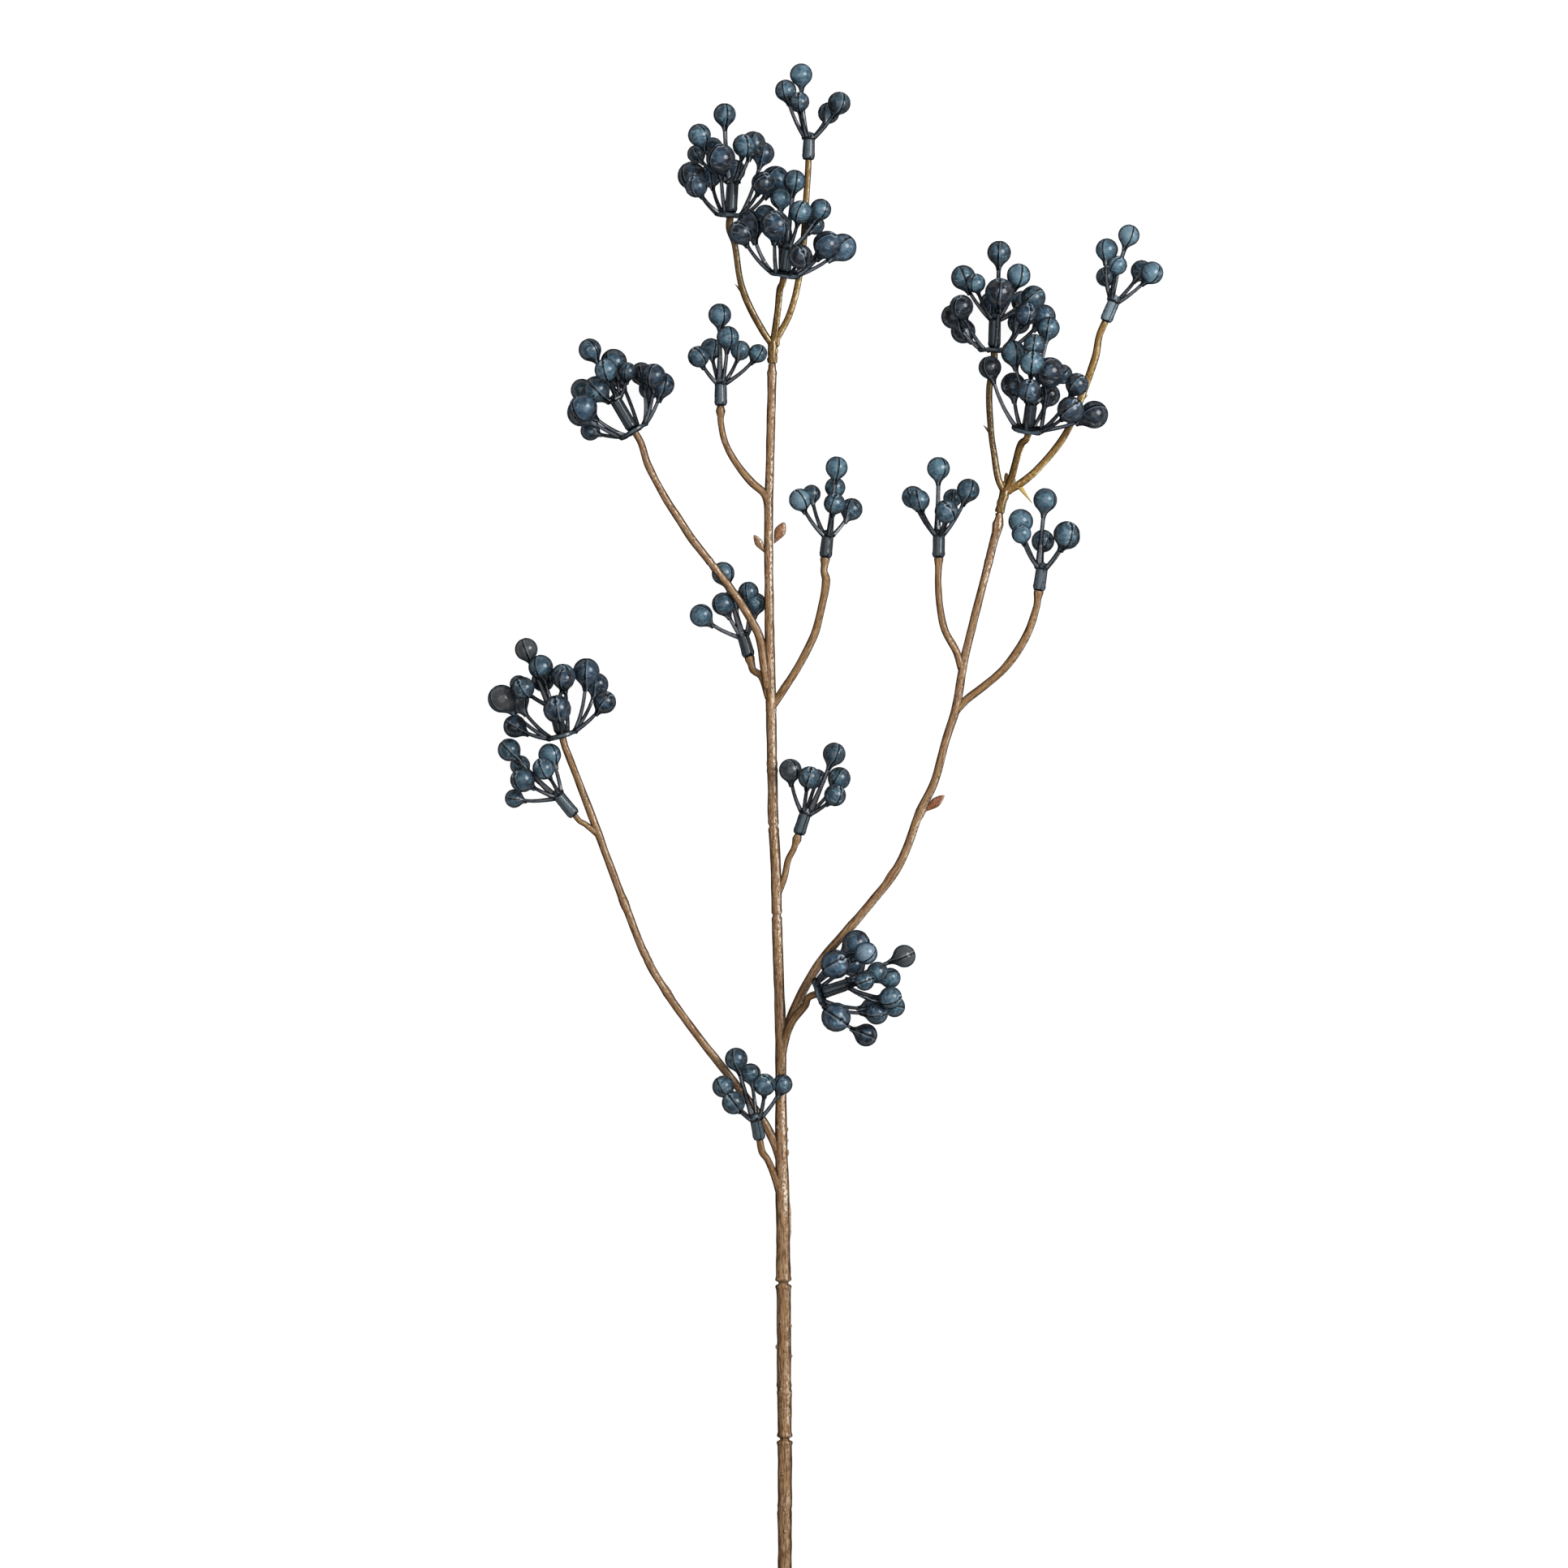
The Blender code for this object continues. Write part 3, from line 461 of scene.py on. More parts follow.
finishes = dict(stem=stemFinish("stemBark", barkLook), fork=stemFinish("forkOchre", ochreLook),
                whorl=berryFinish("whorlBerry", whorlLook),
                spray=berryFinish("sprayBerry", sprayLook))
print("materials are ready")


# Berries, stalks, sleeves and rings

berryShape = dict(columns=28, crowding=0.32, groove=0.965, step=1.02, allowance=1.018,
                  cap=[(0, 0.90), (0.10, 0.905), (0.17, 0.955), (0.25, 0.975)],
                  turns=[21, 31, 42, 55, 68, 80, 92, 104, 117, 130, 143],
                  seamTurns=(40, 55, 65, 75, 85),
                  neck=[(0.43, -0.965), (0.31, -1.12), (0.24, -1.30), (0.20, -1.5), (0, -1.5)])
stalkShape = dict(sides=8, ripples=1.6, rippleLength=4 * mm, rippleDepth=0.08, knobLength=9 * mm,
                  knobDepth=0.10, flash=0.2, grainRun=0.35, offset=0.0, steps=9,
                  radius=0.62, base=0.899, centreBase=1.45, lowBend=0.35)
# A sleeve's rows are (radius, height): over the mouth first, then from the top.
sleeveShape = dict(sides=20, socket=1.25, depth=6.7,
                   mouth=[(1.8, 0), (2.2, 0.12), (2.42, 0.6), (2.65, 1.2), (2.74, 1.9), (2.66, 2.8),
                          (2.62, 4.5)],
                   neck=[(2.58, -2.6), (2.52, -1.4), (2.58, -0.9)], collar=(2.7, 3.3),
                   top=[(2.3, 0.8), (1.9, 1.9), (0, 2.5)], seamPlaces=(-0.45, 0.2, 0.35, 0.5),
                   bodyFrom=1.6, waves=2.2, waveRun=0.5, ragged=0.45, raggedReach=0.6,
                   uneven=0.06, flash=0.05, width=2.4, grainRun=0.3, rootReach=1.5,
                   rootSink=1.0, bend=(0.45, 0.7))
ringShape = dict(sides=28, inner=1.95, outer=7.4, thickness=2.0, bodyFrom=2.45, waves=2.2,
                 uneven=0.05, ripple=0.5, grainSize=3, rootSink=1.6, bend=(0.34, 0.6))
endWidth = 3.2
fitGap = 0.06 * mm
dice = random.Random(27)


def berry(centre, away, radius, seamTurn, tone, collection):
    # A ball with a dimple at its tip, a neck to its stalk and a mould seam round it.
    shape = berryShape
    ball = [(sin(radians(turn)), cos(radians(turn))) for turn in shape["turns"]]
    bm = turned(shape["cap"] + ball + shape["neck"], shape["columns"])
    local = bm.verts.layers.float_vector.new("local")
    for vert in bm.verts:
        x, y, z = vert.co
        out = (x * x + y * y) ** 0.5
        turn = atan2(y, x)
        turn -= shape["crowding"] * sin(2 * turn)
        onSeam = out > 0.2 and abs(y) < 0.01 * out
        swell = shape["groove"] if onSeam else (shape["step"] if y > 0 else 1.0)
        vert.co = (cos(turn) * out * swell, sin(turn) * out * swell, z * (swell + 1) / 2)
        vert[local] = vert.co
    # The seam's plane is turned from the plane of the table about the stalk.
    upward = Vector((0, 0, 1)) - away * away.z
    if upward.length < 0.15:
        upward = Vector((0, 1, 0)) - away * away.y
    upward.normalize()
    side = away.cross(upward)
    normal = upward * cos(seamTurn) + side * sin(seamTurn)
    across = normal.cross(away)
    turn = Matrix((across, normal, away)).transposed().to_4x4()
    bmesh.ops.transform(bm, matrix=Matrix.Translation(centre) @ turn
                        @ Matrix.Scale(radius * shape["allowance"], 4),
                        verts=bm.verts)
    shift = Vector((dice.uniform(-40, 40), dice.uniform(-40, 40), dice.uniform(-40, 40)))

    def rule(vert):
        x, y, z = vert[local]
        pole = atan2((x * x + y * y) ** 0.5, z) / (pi / 2)
        # The first mark, how far a face looks up, paints light on top and shade down the sides.
        return vert[local] + shift, (max(0, vert.normal.z), y, pole, tone)

    return painted(bm, "berry", rule, collection)


def stalk(root, bend, centre, radii, collection):
    # From well inside what it grows from to the berry, on one bend.
    shape = dict(stalkShape, offset=dice.uniform(-50, 50))
    points = interpolate_bezier(root, root.lerp(bend, 2 / 3), centre.lerp(bend, 2 / 3), centre,
                                shape["steps"])
    last = len(points) - 1
    route = []
    for index, point in enumerate(points):
        share = index / last
        start, end = radii
        fromRoot = (1 - share) ** 2
        radius = start * fromRoot + shape["radius"] * (1 - fromRoot - share ** 6) + end * share ** 6
        route.append((point, radius * mm))
    tube("stalk", route, shape, collection)
    return (centre - points[-2]).normalized()


def addBerries(table, height, rootOf, bendOf, collection, centreFirst):
    # A berry on its stalk for each row; a spray's first stalk is the thick middle one.
    for index, row in enumerate(table):
        right, down, radius, forward, tone = row[:5]
        anyTurn = dice.choice((-1, 1)) * dice.choice(berryShape["seamTurns"])
        seamTurn = radians(row[5] if len(row) > 5 else anyTurn)
        centre = place(right, down, height + forward)
        root = rootOf(centre)
        thick = centreFirst and index == 0
        start = stalkShape["centreBase" if thick else "base"]
        bend = bendOf(root, centre)
        bend.z = root.z + (bend.z - root.z) * stalkShape["lowBend"]
        away = stalk(root, bend, centre, (start, start), collection)
        berry(centre, away, radius * mm, seamTurn, tone, collection)


def split(vector, axis):
    along = axis * vector.dot(axis)
    return along, vector - along


def bendRule(axis, shares):
    # Where a stalk's bend lies, by its shares of the way along the axis and out from it.
    def bendOf(root, centre):
        along, outward = split(centre - root, axis)
        return root + along * shares[0] + outward * shares[1]
    return bendOf


def sleeve(mouth, knuckle, tone, collection):
    shape = sleeveShape
    length = (knuckle - mouth).length / mm
    collar = dice.uniform(*shape["collar"])
    seamPlace = dice.choice(shape["seamPlaces"])
    upper = shape["neck"] + [(collar, -0.35), (collar * 0.95, 0.25)] + shape["top"]
    profile = [(0, shape["depth"]), (shape["socket"], shape["depth"]), (shape["socket"], 0.1)]
    profile += shape["mouth"] + [(radius, length + height) for radius, height in upper]
    bm = turned([(radius * mm, height * mm) for radius, height in profile], shape["sides"])
    local = bm.verts.layers.float_vector.new("local")
    offset = dice.uniform(-50, 50)
    for vert in bm.verts:
        x, y, z = vert.co / mm
        out = (x * x + y * y) ** 0.5
        if out > shape["bodyFrom"]:
            turn = atan2(y, x)
            rough = noise.noise(Vector((cos(turn) * shape["waves"], sin(turn) * shape["waves"],
                                        z * shape["waveRun"] + offset)))
            nearTop = abs(z - length) < shape["raggedReach"]
            swell = 1 + shape["ragged" if nearTop else "uneven"] * rough
            swell += shape["flash"] * max(0, abs(cos(turn)) * 6 - 5)
            vert.co.x *= swell
            vert.co.y *= swell
        vert[local] = (x / shape["width"], y / shape["width"], z * shape["grainRun"] + offset)
    axis = (knuckle - mouth).normalized()
    bmesh.ops.transform(bm, matrix=aim(axis, mouth), verts=bm.verts)
    across = axis.cross(Vector((0, 0, 1))).normalized()

    def rule(vert):
        run = (vert[local][2] - offset) / shape["grainRun"]
        line = (vert.co - mouth).dot(across) / (shape["width"] * mm) - seamPlace
        if run < 0.65 or abs(run - length + 0.3) < 0.9:
            line = 0
        # The first mark, how far a face looks up, paints light on top and shade down the sides.
        return vert[local], (max(0, vert.normal.z), line, 5, tone)

    return painted(bm, "sleeve", rule, collection)


def whorlRing(hub, axis, collection):
    shape = ringShape
    half = shape["thickness"] / 2
    inner, outer = shape["inner"], shape["outer"]
    profile = [(inner, -half), (inner + 1.0, -half - 0.15), (inner + 1.8, -half * 0.7),
               (outer - 1.6, -half * 0.7), (outer - 0.8, -half), (outer, -half * 0.4),
               (outer, half * 0.4), (outer - 0.8, half), (outer - 1.6, half * 0.7),
               (inner + 1.8, half * 0.7), (inner + 1.0, half), (inner, half)]
    bm = turned([(radius * mm, height * mm) for radius, height in profile], shape["sides"])
    offset = dice.uniform(-50, 50)
    local = bm.verts.layers.float_vector.new("local")
    for vert in bm.verts:
        x, y, z = vert.co / mm
        out = (x * x + y * y) ** 0.5
        turn = atan2(y, x)
        rough = noise.noise(Vector((cos(turn) * shape["waves"], sin(turn) * shape["waves"],
                                    offset)))
        if out > shape["bodyFrom"]:
            vert.co.x *= 1 + shape["uneven"] * rough
            vert.co.y *= 1 + shape["uneven"] * rough
            vert.co.z *= 1 + shape["ripple"] * rough
        size = shape["grainSize"]
        vert[local] = (x / size, y / size, z / size + offset)
    bmesh.ops.transform(bm, matrix=aim(axis, hub), verts=bm.verts)

    def rule(vert):
        # The first mark, how far a face looks up, paints light on top and shade down the sides.
        return vert[local], (max(0, vert.normal.z), 9, 5, 0.3)

    return painted(bm, "ring", rule, collection)


def makeSpray(node, mouth, knuckle, table, height, tone, repeats):
    axis = (knuckle - mouth).normalized()

    def rootOf(centre):
        outward = split(centre - knuckle, axis)[1]
        reach = min(outward.length, sleeveShape["rootReach"] * mm)
        return knuckle - axis * sleeveShape["rootSink"] * mm + outward.normalized() * reach

    base = sleeve(mouth, knuckle, tone, bpy.context.scene.collection)
    addBerries(table, height, rootOf, bendRule(axis, sleeveShape["bend"]), repeats, True)
    piece = join(base, repeats, node + "_fine", 38)
    finishPiece(piece, node, finishes["spray"])


def makeWhorl(node, hub, axis, table, height, repeats):
    def rootOf(centre):
        outward = split(centre - hub, axis)[1].normalized()
        return hub + outward * (ringShape["outer"] - ringShape["rootSink"]) * mm

    base = whorlRing(hub, axis, bpy.context.scene.collection)
    addBerries(table, height, rootOf, bendRule(axis, ringShape["bend"]), repeats, False)
    piece = join(base, repeats, node + "_fine", 38)
    finishPiece(piece, node, finishes["whorl"])


# "mouth" and "knuckle" are the sleeve's two ends. A berry's row is its place, its
# radius, how far it stands in front of the knuckle, its tone from dark to pale blue
# and, where it shows, its seam's turn in degrees.
sprays = {
    "spray_top": dict(
        mouth=(996, 197, 20.0), knuckle=(997, 169, 20.0),
        berries=[(987, 92, 4.9, 0, 0.75, 25), (968, 112, 4.7, 4, 0.5, 75),
                 (985, 127, 4.3, 12, 0.35, 80), (1034, 128, 5.0, 6, 0.3, -68),
                 (1021, 138, 4.7, -9, 0.4, 60), (983, 125, 4.1, -12, 0.5)]),
    "spray_middle_left": dict(
        mouth=(888, 500, 20.0), knuckle=(888, 471, 20.0), tone=0.7,
        berries=[(887, 388, 5.0, 0, 0.6, -66), (897, 416, 4.9, 5, 0.6, -68),
                 (876, 429, 4.7, -11, 0.55, -60), (861, 440, 4.7, 8, 0.45, -65),
                 (912, 431, 4.3, -9, 0.7, 70), (934, 436, 4.1, 5, 0.6, -75)]),
    "spray_under_branch": dict(
        mouth=(923, 809, 11.6), knuckle=(915, 782, 10.6), tone=0.15,
        berries=[(891, 706, 5.0, -1, 0.6), (864, 758, 5.0, 3, 0.6), (891, 744, 5.0, 4, 0.5),
                 (922, 729, 4.5, 0, 0.5), (931, 743, 4.7, -1, 0.4), (903, 738, 4.3, -5, 0.4)]),
    "spray_middle_right": dict(
        mouth=(1017, 687, 18.0), knuckle=(1020, 659, 18.0), tone=0.0,
        berries=[(1031, 576, 4.9, 0, 0.8, -80), (1029, 600, 4.5, -8, 0.6),
                 (1028, 621, 4.7, 10, 0.5, 75), (986, 616, 4.9, 8, 0.9, -70),
                 (1000, 608, 4.0, -8, 0.35), (1049, 627, 4.9, -6, 0.3, 65)]),
    "spray_low_middle": dict(
        mouth=(984, 1028, 15.0), knuckle=(993, 1001, 15.6), tone=0.4,
        berries=[(1028, 929, 5.0, 0, 0.4), (1034, 959, 5.0, -6, 0.4), (1029, 980, 4.8, 8, 0.4),
                 (974, 949, 5.0, 5, 0.05), (997, 958, 4.9, 11, 0.4), (1007, 959, 4.0, -10, 0.4)]),
    "spray_right_inner": dict(
        mouth=(1156.5, 687, 18.0), knuckle=(1157, 658, 18.0), tone=0.25,
        berries=[(1156.5, 577, 5.0, 0, 0.75), (1125, 612, 4.9, -8, 0.5),
                 (1132, 617, 4.7, 8, 0.6), (1166, 631, 5.2, 15, 0.55),
                 (1174, 613, 4.1, -12, 0.4), (1193, 604, 5.0, 3, 0.5)]),
    "spray_right_outer": dict(
        mouth=(1280, 728, 19.0), knuckle=(1284, 699, 19.0),
        berries=[(1288, 616, 5.2, 0, 0.65), (1258, 642, 5.4, -7, 0.8, 20),
                 (1258, 658, 4.3, 9, 0.75, 25), (1286, 666, 5.0, -15, 0.5),
                 (1314, 659, 5.8, 9, 0.6), (1316, 661, 5.4, -8, 0.4)]),
    "spray_right_tip": dict(
        mouth=(1362, 396, 20.5), knuckle=(1373, 370, 21.0), tone=0.95,
        berries=[(1391, 290, 4.7, 0, 0.9), (1364, 307, 4.9, -6, 0.7),
                 (1376, 328, 4.2, 11, 0.75), (1363, 340, 4.3, -12, 0.3),
                 (1407, 333, 4.7, -8, 0.35), (1419, 337, 4.98, 6, 0.75)]),
    "spray_low_left": dict(
        mouth=(708, 1004.5, 14.8), knuckle=(687, 979, 15.6),
        berries=[(627, 924, 5.0, 0, 0.45), (640, 943, 4.4, -9, 0.4), (644, 961, 5.4, 10, 0.4),
                 (633, 984, 4.1, -5, 0.4), (677, 930, 5.0, -5, 0.8), (670, 947, 4.9, 11, 0.6)]),
    "spray_bottom": dict(
        mouth=(936, 1404, 16.6), knuckle=(931, 1378, 19.0),
        berries=[(907, 1305, 5.0, 2, 0.4), (925, 1323, 4.4, -5, 0.4), (942, 1336, 4.9, 9, 0.5),
                 (964, 1336, 4.4, 1, 0.4), (891, 1339, 4.8, -1, 0.4), (904, 1358, 5.1, 10, 0.4)]),
}

# "hub" is the middle of the ring, "knuckle" the top of the sleeve on it, and both
# lists of berries are measured from the hub's height.
heads = {
    "top_left": dict(
        hub=(900, 265, 20.1), knuckle=(903, 224, 20.5),
        upper=[(893, 141, 4.9, 0, 0.5), (862, 167, 5.0, 4, 0.6), (858, 189, 4.0, -6, 0.2),
               (878, 180, 4.3, -10, 0.2), (917, 181, 5.0, 12, 0.6), (928, 177, 5.4, 1, 0.25)],
        lower=[(888, 197, 6.4, 15, 0.35), (940, 188, 5.0, -9, 0.4), (852, 217, 6.1, 3, 0.3, 50),
               (858, 231, 5.0, 13, 0.45, 55), (875, 215, 5.0, -15, 0.5),
               (940, 227, 5.0, 14, 0.2, 45), (955, 222, 6.4, -3, 0.6),
               (905, 208, 4.8, -16, 0.4)]),
    "top_right": dict(
        hub=(966, 339, 33.0), knuckle=(971, 306, 35.0),
        upper=[(979, 225, 4.9, 3, 0.6, -80), (962, 245, 4.7, -5, 0.8),
               (986, 264, 5.0, 12, 0.65, 75), (1011, 260, 4.7, 3, 0.6, -60),
               (1004, 278, 4.3, -7, 0.45, -85), (943, 267, 5.0, -8, 0.45)],
        lower=[(955, 280, 6.4, 14, 0.3), (925, 278, 6.1, 1, 0.25),
               (913, 289, 5.4, 12, 0.25, -45), (986, 320, 5.4, 21.85, 0.12),
               (1019, 304, 6.1, 10, 0.45), (1038, 306, 6.1, -2, 0.85),
               (962, 288, 5.0, -15, 0.4), (1016, 300, 5.0, -13, 0.4)]),
    "right_upper": dict(
        hub=(1225, 431, 18.3), knuckle=(1226, 392, 18.5),
        upper=[(1231, 311, 5.2, 0, 0.4), (1187, 342, 5.4, 3, 0.5), (1202, 350, 4.2, 11, 0.6),
               (1255, 340, 5.2, 8, 0.85), (1273, 367, 5.4, 4, 0.35), (1260, 370, 4.7, -14, 0.4)],
        lower=[(1231, 362, 6.4, 16, 0.25, 85), (1264, 388, 5.0, 13, 0.4),
               (1184, 379, 5.2, 13, 0.25, 45), (1175, 390, 5.4, 1, 0.15),
               (1187, 407, 5.4, -10, 0.2), (1286, 390, 5.4, -2, 0.6),
               (1256, 396, 5.0, -13, 0.4), (1222, 372, 5.0, -14, 0.4)]),
    "right_lower": dict(
        hub=(1266, 530, 35.0), knuckle=(1270, 497, 38.0),
        upper=[(1291, 405, 5.0, -6, 0.6, 85), (1248, 436, 5.4, 0, 0.65),
               (1273, 427, 4.7, 10, 0.5), (1270, 450, 5.4, 15.5, 0.75, 88),
               (1309, 462, 4.3, -6, 0.3), (1284, 458, 4.4, -10, 0.4)],
        lower=[(1219, 454, 5.0, -1, 0.1), (1248, 475, 5.4, -6, 0.25),
               (1266, 484, 5.2, 19, 0.5, 75), (1292, 460, 6.4, 7, 0.2),
               (1325, 476, 5.0, 14, 0.3), (1292, 487, 5.0, -13, 0.2),
               (1317, 507, 5.8, 17, 0.35), (1347, 512, 6.1, 2, 0.3)]),
    "left": dict(
        hub=(781, 531, 20.3), knuckle=(758, 492, 20.3),
        upper=[(727, 431, 5.0, 0, 0.45, -60), (756, 446, 5.8, -3, 0.45),
               (747, 457, 5.0, 13, 0.8), (773, 458, 4.0, 4, 0.3), (735, 480, 5.8, 3, 0.35, 85),
               (717, 480, 5.0, -9, 0.3)],
        lower=[(719, 503, 6.1, 12, 0.6, 40), (716, 508, 6.1, -3, 0.4),
               (727, 530, 4.3, -10, 0.4), (790, 460, 5.0, -6, 0.2), (805, 464, 5.4, 10, 0.35),
               (816, 474, 5.4, 0, 0.6), (800, 478, 4.7, -13, 0.3), (762, 462, 5.0, -16, 0.4)]),
    "left_lower": dict(
        hub=(692, 906, 14.2), knuckle=(681, 867, 14.6),
        upper=[(648, 800, 5.0, 0, 0, 85), (666, 822, 5.4, 3, 0.45),
               (668, 838, 5.0, -10, 0.15), (639, 843, 4.0, 0, 0.2), (645, 848, 4.9, 12, 0.45),
               (694, 833, 5.4, 5, 0.65)],
        lower=[(618, 861, 6.1, 4, 0), (635, 862, 5.8, -9, 0), (634, 895, 5.0, 3, 0.3, 85),
               (695, 837, 4.7, 17, 0.4), (722, 827, 5.8, 0, 0.55, 85), (735, 843, 5.0, -9, 0.4),
               (745, 865, 5.0, 7, 0.4, 80), (687, 874, 6.1, 21, 0.4, 85)]),
    "right_base": dict(
        hub=(1010, 1224, 24.0), knuckle=(1046, 1212, 26.0),
        upper=[(1114, 1178, 5.0, 2, 0), (1081, 1198, 4.7, 5, 0.35), (1065, 1208, 4.3, 14, 0.45),
               (1097, 1205, 4.5, -5, 0.6), (1097, 1229, 5.0, 12, 0.65),
               (1102, 1240, 4.7, -4, 0.55)],
        lower=[(1055, 1163, 6.1, -2, 0.5), (1067, 1174, 5.0, 12, 1), (1029, 1187, 6.4, 19, 0.6),
               (1080, 1248, 5.0, 7, 0.5), (1030, 1252, 6.4, 19, 0.6, 85),
               (1067, 1275, 5.0, 0, 0.35, 85), (1075, 1243, 5.0, -13, 0.4),
               (1052, 1190, 5.0, -14, 0.4)]),
}

repeats = bpy.data.collections.new("repeats")
bpy.context.scene.collection.children.link(repeats)


def sleeveFit(name):
    # Where a head's or a spray's sleeve starts, and the way it points.
    if name in heads:
        hub = place(*heads[name]["hub"])
        axis = (place(*heads[name]["knuckle"]) - hub).normalized()
        return hub + axis * (ringShape["thickness"] / 2 * mm + fitGap), axis
    mouth = place(*sprays[name]["mouth"])
    return mouth, (place(*sprays[name]["knuckle"]) - mouth).normalized()


for name, parts in sprays.items():
    makeSpray(name, place(*parts["mouth"]), place(*parts["knuckle"]), parts["berries"],
              parts["knuckle"][2], parts.get("tone", 0.6), repeats)
print("small sprays are made")

for name, parts in heads.items():
    mouth, axis = sleeveFit(name)
    height = parts["hub"][2]
    makeWhorl("whorl_" + name, place(*parts["hub"]), axis, parts["lower"], height, repeats)
    makeSpray("spray_" + name, mouth, place(*parts["knuckle"]), parts["upper"], height, 0.1,
              repeats)
print("large heads are made")


# Stem and forks

# A route's row is its place and its width, and a collar's row is how far down it is, its
# two swellings and the pinch between them.
trunk = dict(
    route=[(967, 2031.9, 2.6, 6.2), (967, 1932, 3.8, 6.2), (967, 1775, 5.7, 6.4),
           (966, 1680, 6.8, 6.4), (965.5, 1582, 7.8, 6.4), (964, 1471, 9.0, 6.2),
           (962.5, 1400, 9.8, 5.3), (962, 1340, 10.4, 5.0), (962, 1290, 11.0, 5.0),
           (959.5, 1200, 11.9, 4.7), (957, 1128, 12.7, 4.7), (956, 1070, 13.3, 4.7),
           (953, 1018, 13.9, 4.6), (951.4, 945, 14.7, 4.5), (950, 870, 15.5, 4.6),
           (948, 760, 16.7, 4.3), (947, 640, 18.0, 4.0), (949, 560, 18.8, 3.8),
           (950.8, 480, 19.6, 3.9), (951.2, 465, 19.75, 4.0), (951.3, 459, 19.8, 4.5),
           (951.4, 455, 19.85, 3.6), (951.4, 448, 19.9, 3.2)],
    collars=[(1862, 1.04, 0.97), (1775, 1.13, 0.66), (1713, 1.06, 0.97), (1582, 1.12, 0.68),
             (1340, 1.05, 0.88), (1128, 1.06, 0.84), (1018, 1.06, 0.84), (945, 1.10, 1.02),
             (870, 1.08, 1.05)],
    tones=[(0, 0.5), (1120, 0.5), (1180, 0.42), (1350, 0.42), (1385, 0.5), (1470, 0.5),
           (1510, 0.36), (2040, 0.36)],
    spacing=1.6 * mm, sides=24)

branches = {
    "left_lower": dict(
        route=[(966, 1464, 9.0, 4.0), (962, 1435, 9.3, 3.9), (954, 1409, 9.6, 3.8),
               (941, 1383, 9.9, 3.8), (910, 1341, 10.3, 3.8), (884, 1308, 10.7, 3.8),
               (854, 1269.5, 11.1, 3.5), (822, 1224.5, 11.6, 3.6), (796.5, 1181, 12.0, 3.5),
               (769, 1113, 12.6, 3.6), (746, 1052, 13.1, 3.5), (737, 1027, 13.3, 3.6),
               (721, 985, 13.6, 3.4), (700, 930, 14.0, 3.2)],
        collars=[(1224, 1.12, 1.16), (1180, 1.05, 0.96), (1113, 1.18, 1.22)]),
    "left": dict(
        route=[(946, 848, 15.8, 4.0), (941, 817, 16.3, 3.9), (936, 785, 16.8, 3.9),
               (925, 763, 17.2, 3.8), (912, 742, 17.6, 3.7), (895, 718, 18.0, 3.7),
               (877.5, 695.5, 18.4, 3.7), (855.5, 668, 18.8, 3.6), (840.5, 645.5, 19.1, 3.5),
               (819.5, 613, 19.5, 3.4), (798.5, 573, 20.0, 3.3)],
        collars=[(695, 1.05, 0.94)]),
    "right": dict(
        route=[(962, 1300, 11.0, 4.4), (972, 1262, 11.5, 4.2), (990, 1220, 11.9, 4.0),
               (1015, 1180, 12.5, 4.0), (1050, 1140, 13.1, 3.9), (1072, 1114, 13.5, 3.9),
               (1099, 1080, 14.0, 3.9), (1114, 1053, 14.4, 3.9), (1134, 1000, 15.0, 3.9),
               (1151, 964, 15.5, 3.7), (1165, 914, 16.1, 3.7), (1178, 872, 16.6, 4.0),
               (1184.5, 834, 17.0, 3.8), (1188.5, 811, 17.3, 3.8), (1201, 760, 18.0, 3.7),
               (1219.6, 687, 18.9, 3.6), (1225, 665, 19.2, 3.8), (1227.4, 657, 19.3, 4.0),
               (1229.3, 646, 19.45, 5.0), (1230.8, 640.5, 19.5, 4.0), (1231.2, 636.5, 19.55, 3.3),
               (1231, 632, 19.6, 3.3)],
        collars=[(1140, 1.06, 1.08), (1080, 1.12, 1.14), (1000, 1.12, 1.16), (687, 1.05, 1.0)],
        tones=[(0, 0.66), (655, 0.66), (690, 0.58), (745, 0.4), (1400, 0.4)]),
}

twigs = {
    "spray_middle_left": [(947, 644, 17.9, 3.6), (943, 611, 18.2, 3.5), (925, 593, 18.6, 3.5),
                          (907, 570.5, 19.0, 3.1), (893, 544, 19.5, 2.9)],
    "spray_under_branch": [(947, 860, 15.6, 3.4), (938, 833, 13.6, 3.2)],
    "spray_middle_right": [(949, 874, 15.4, 3.6), (971.5, 840.5, 16.0, 3.6),
                           (988.5, 812.5, 16.5, 3.6), (1004.5, 778.5, 17.0, 3.5),
                           (1014, 740, 17.5, 3.4), (1018, 715, 17.8, 3.8)],
    "spray_low_middle": [(957, 1106, 12.8, 3.0), (966, 1082, 13.3, 2.9), (971, 1060, 13.9, 2.9)],
    "spray_right_inner": [(1185, 824, 17.1, 3.4), (1179, 804, 17.3, 3.3), (1164.5, 777, 17.6, 3.3),
                          (1158, 747, 17.8, 3.1), (1156, 717, 18.0, 3.1)],
    "spray_right_outer": [(1178, 876, 16.5, 3.8), (1192, 861, 16.8, 3.6), (1215, 843.5, 17.2, 3.6),
                          (1236, 825, 17.6, 3.6), (1254, 802, 18.0, 3.6), (1268, 776, 18.4, 3.6)],
    "spray_low_left": [(738, 1029, 13.3, 3.2), (729, 1022, 13.7, 2.8), (720, 1015, 14.1, 2.5)],
    "spray_bottom": [(963, 1480, 8.9, 3.4), (954, 1449, 11.2, 3.2), (945, 1428, 13.6, 3.2)],
    "right_base": [(963, 1304, 10.9, 3.8), (968, 1278, 12.6, 3.6), (978, 1256, 16.0, 3.5),
                   (992, 1239, 20.0, 3.3)],
}

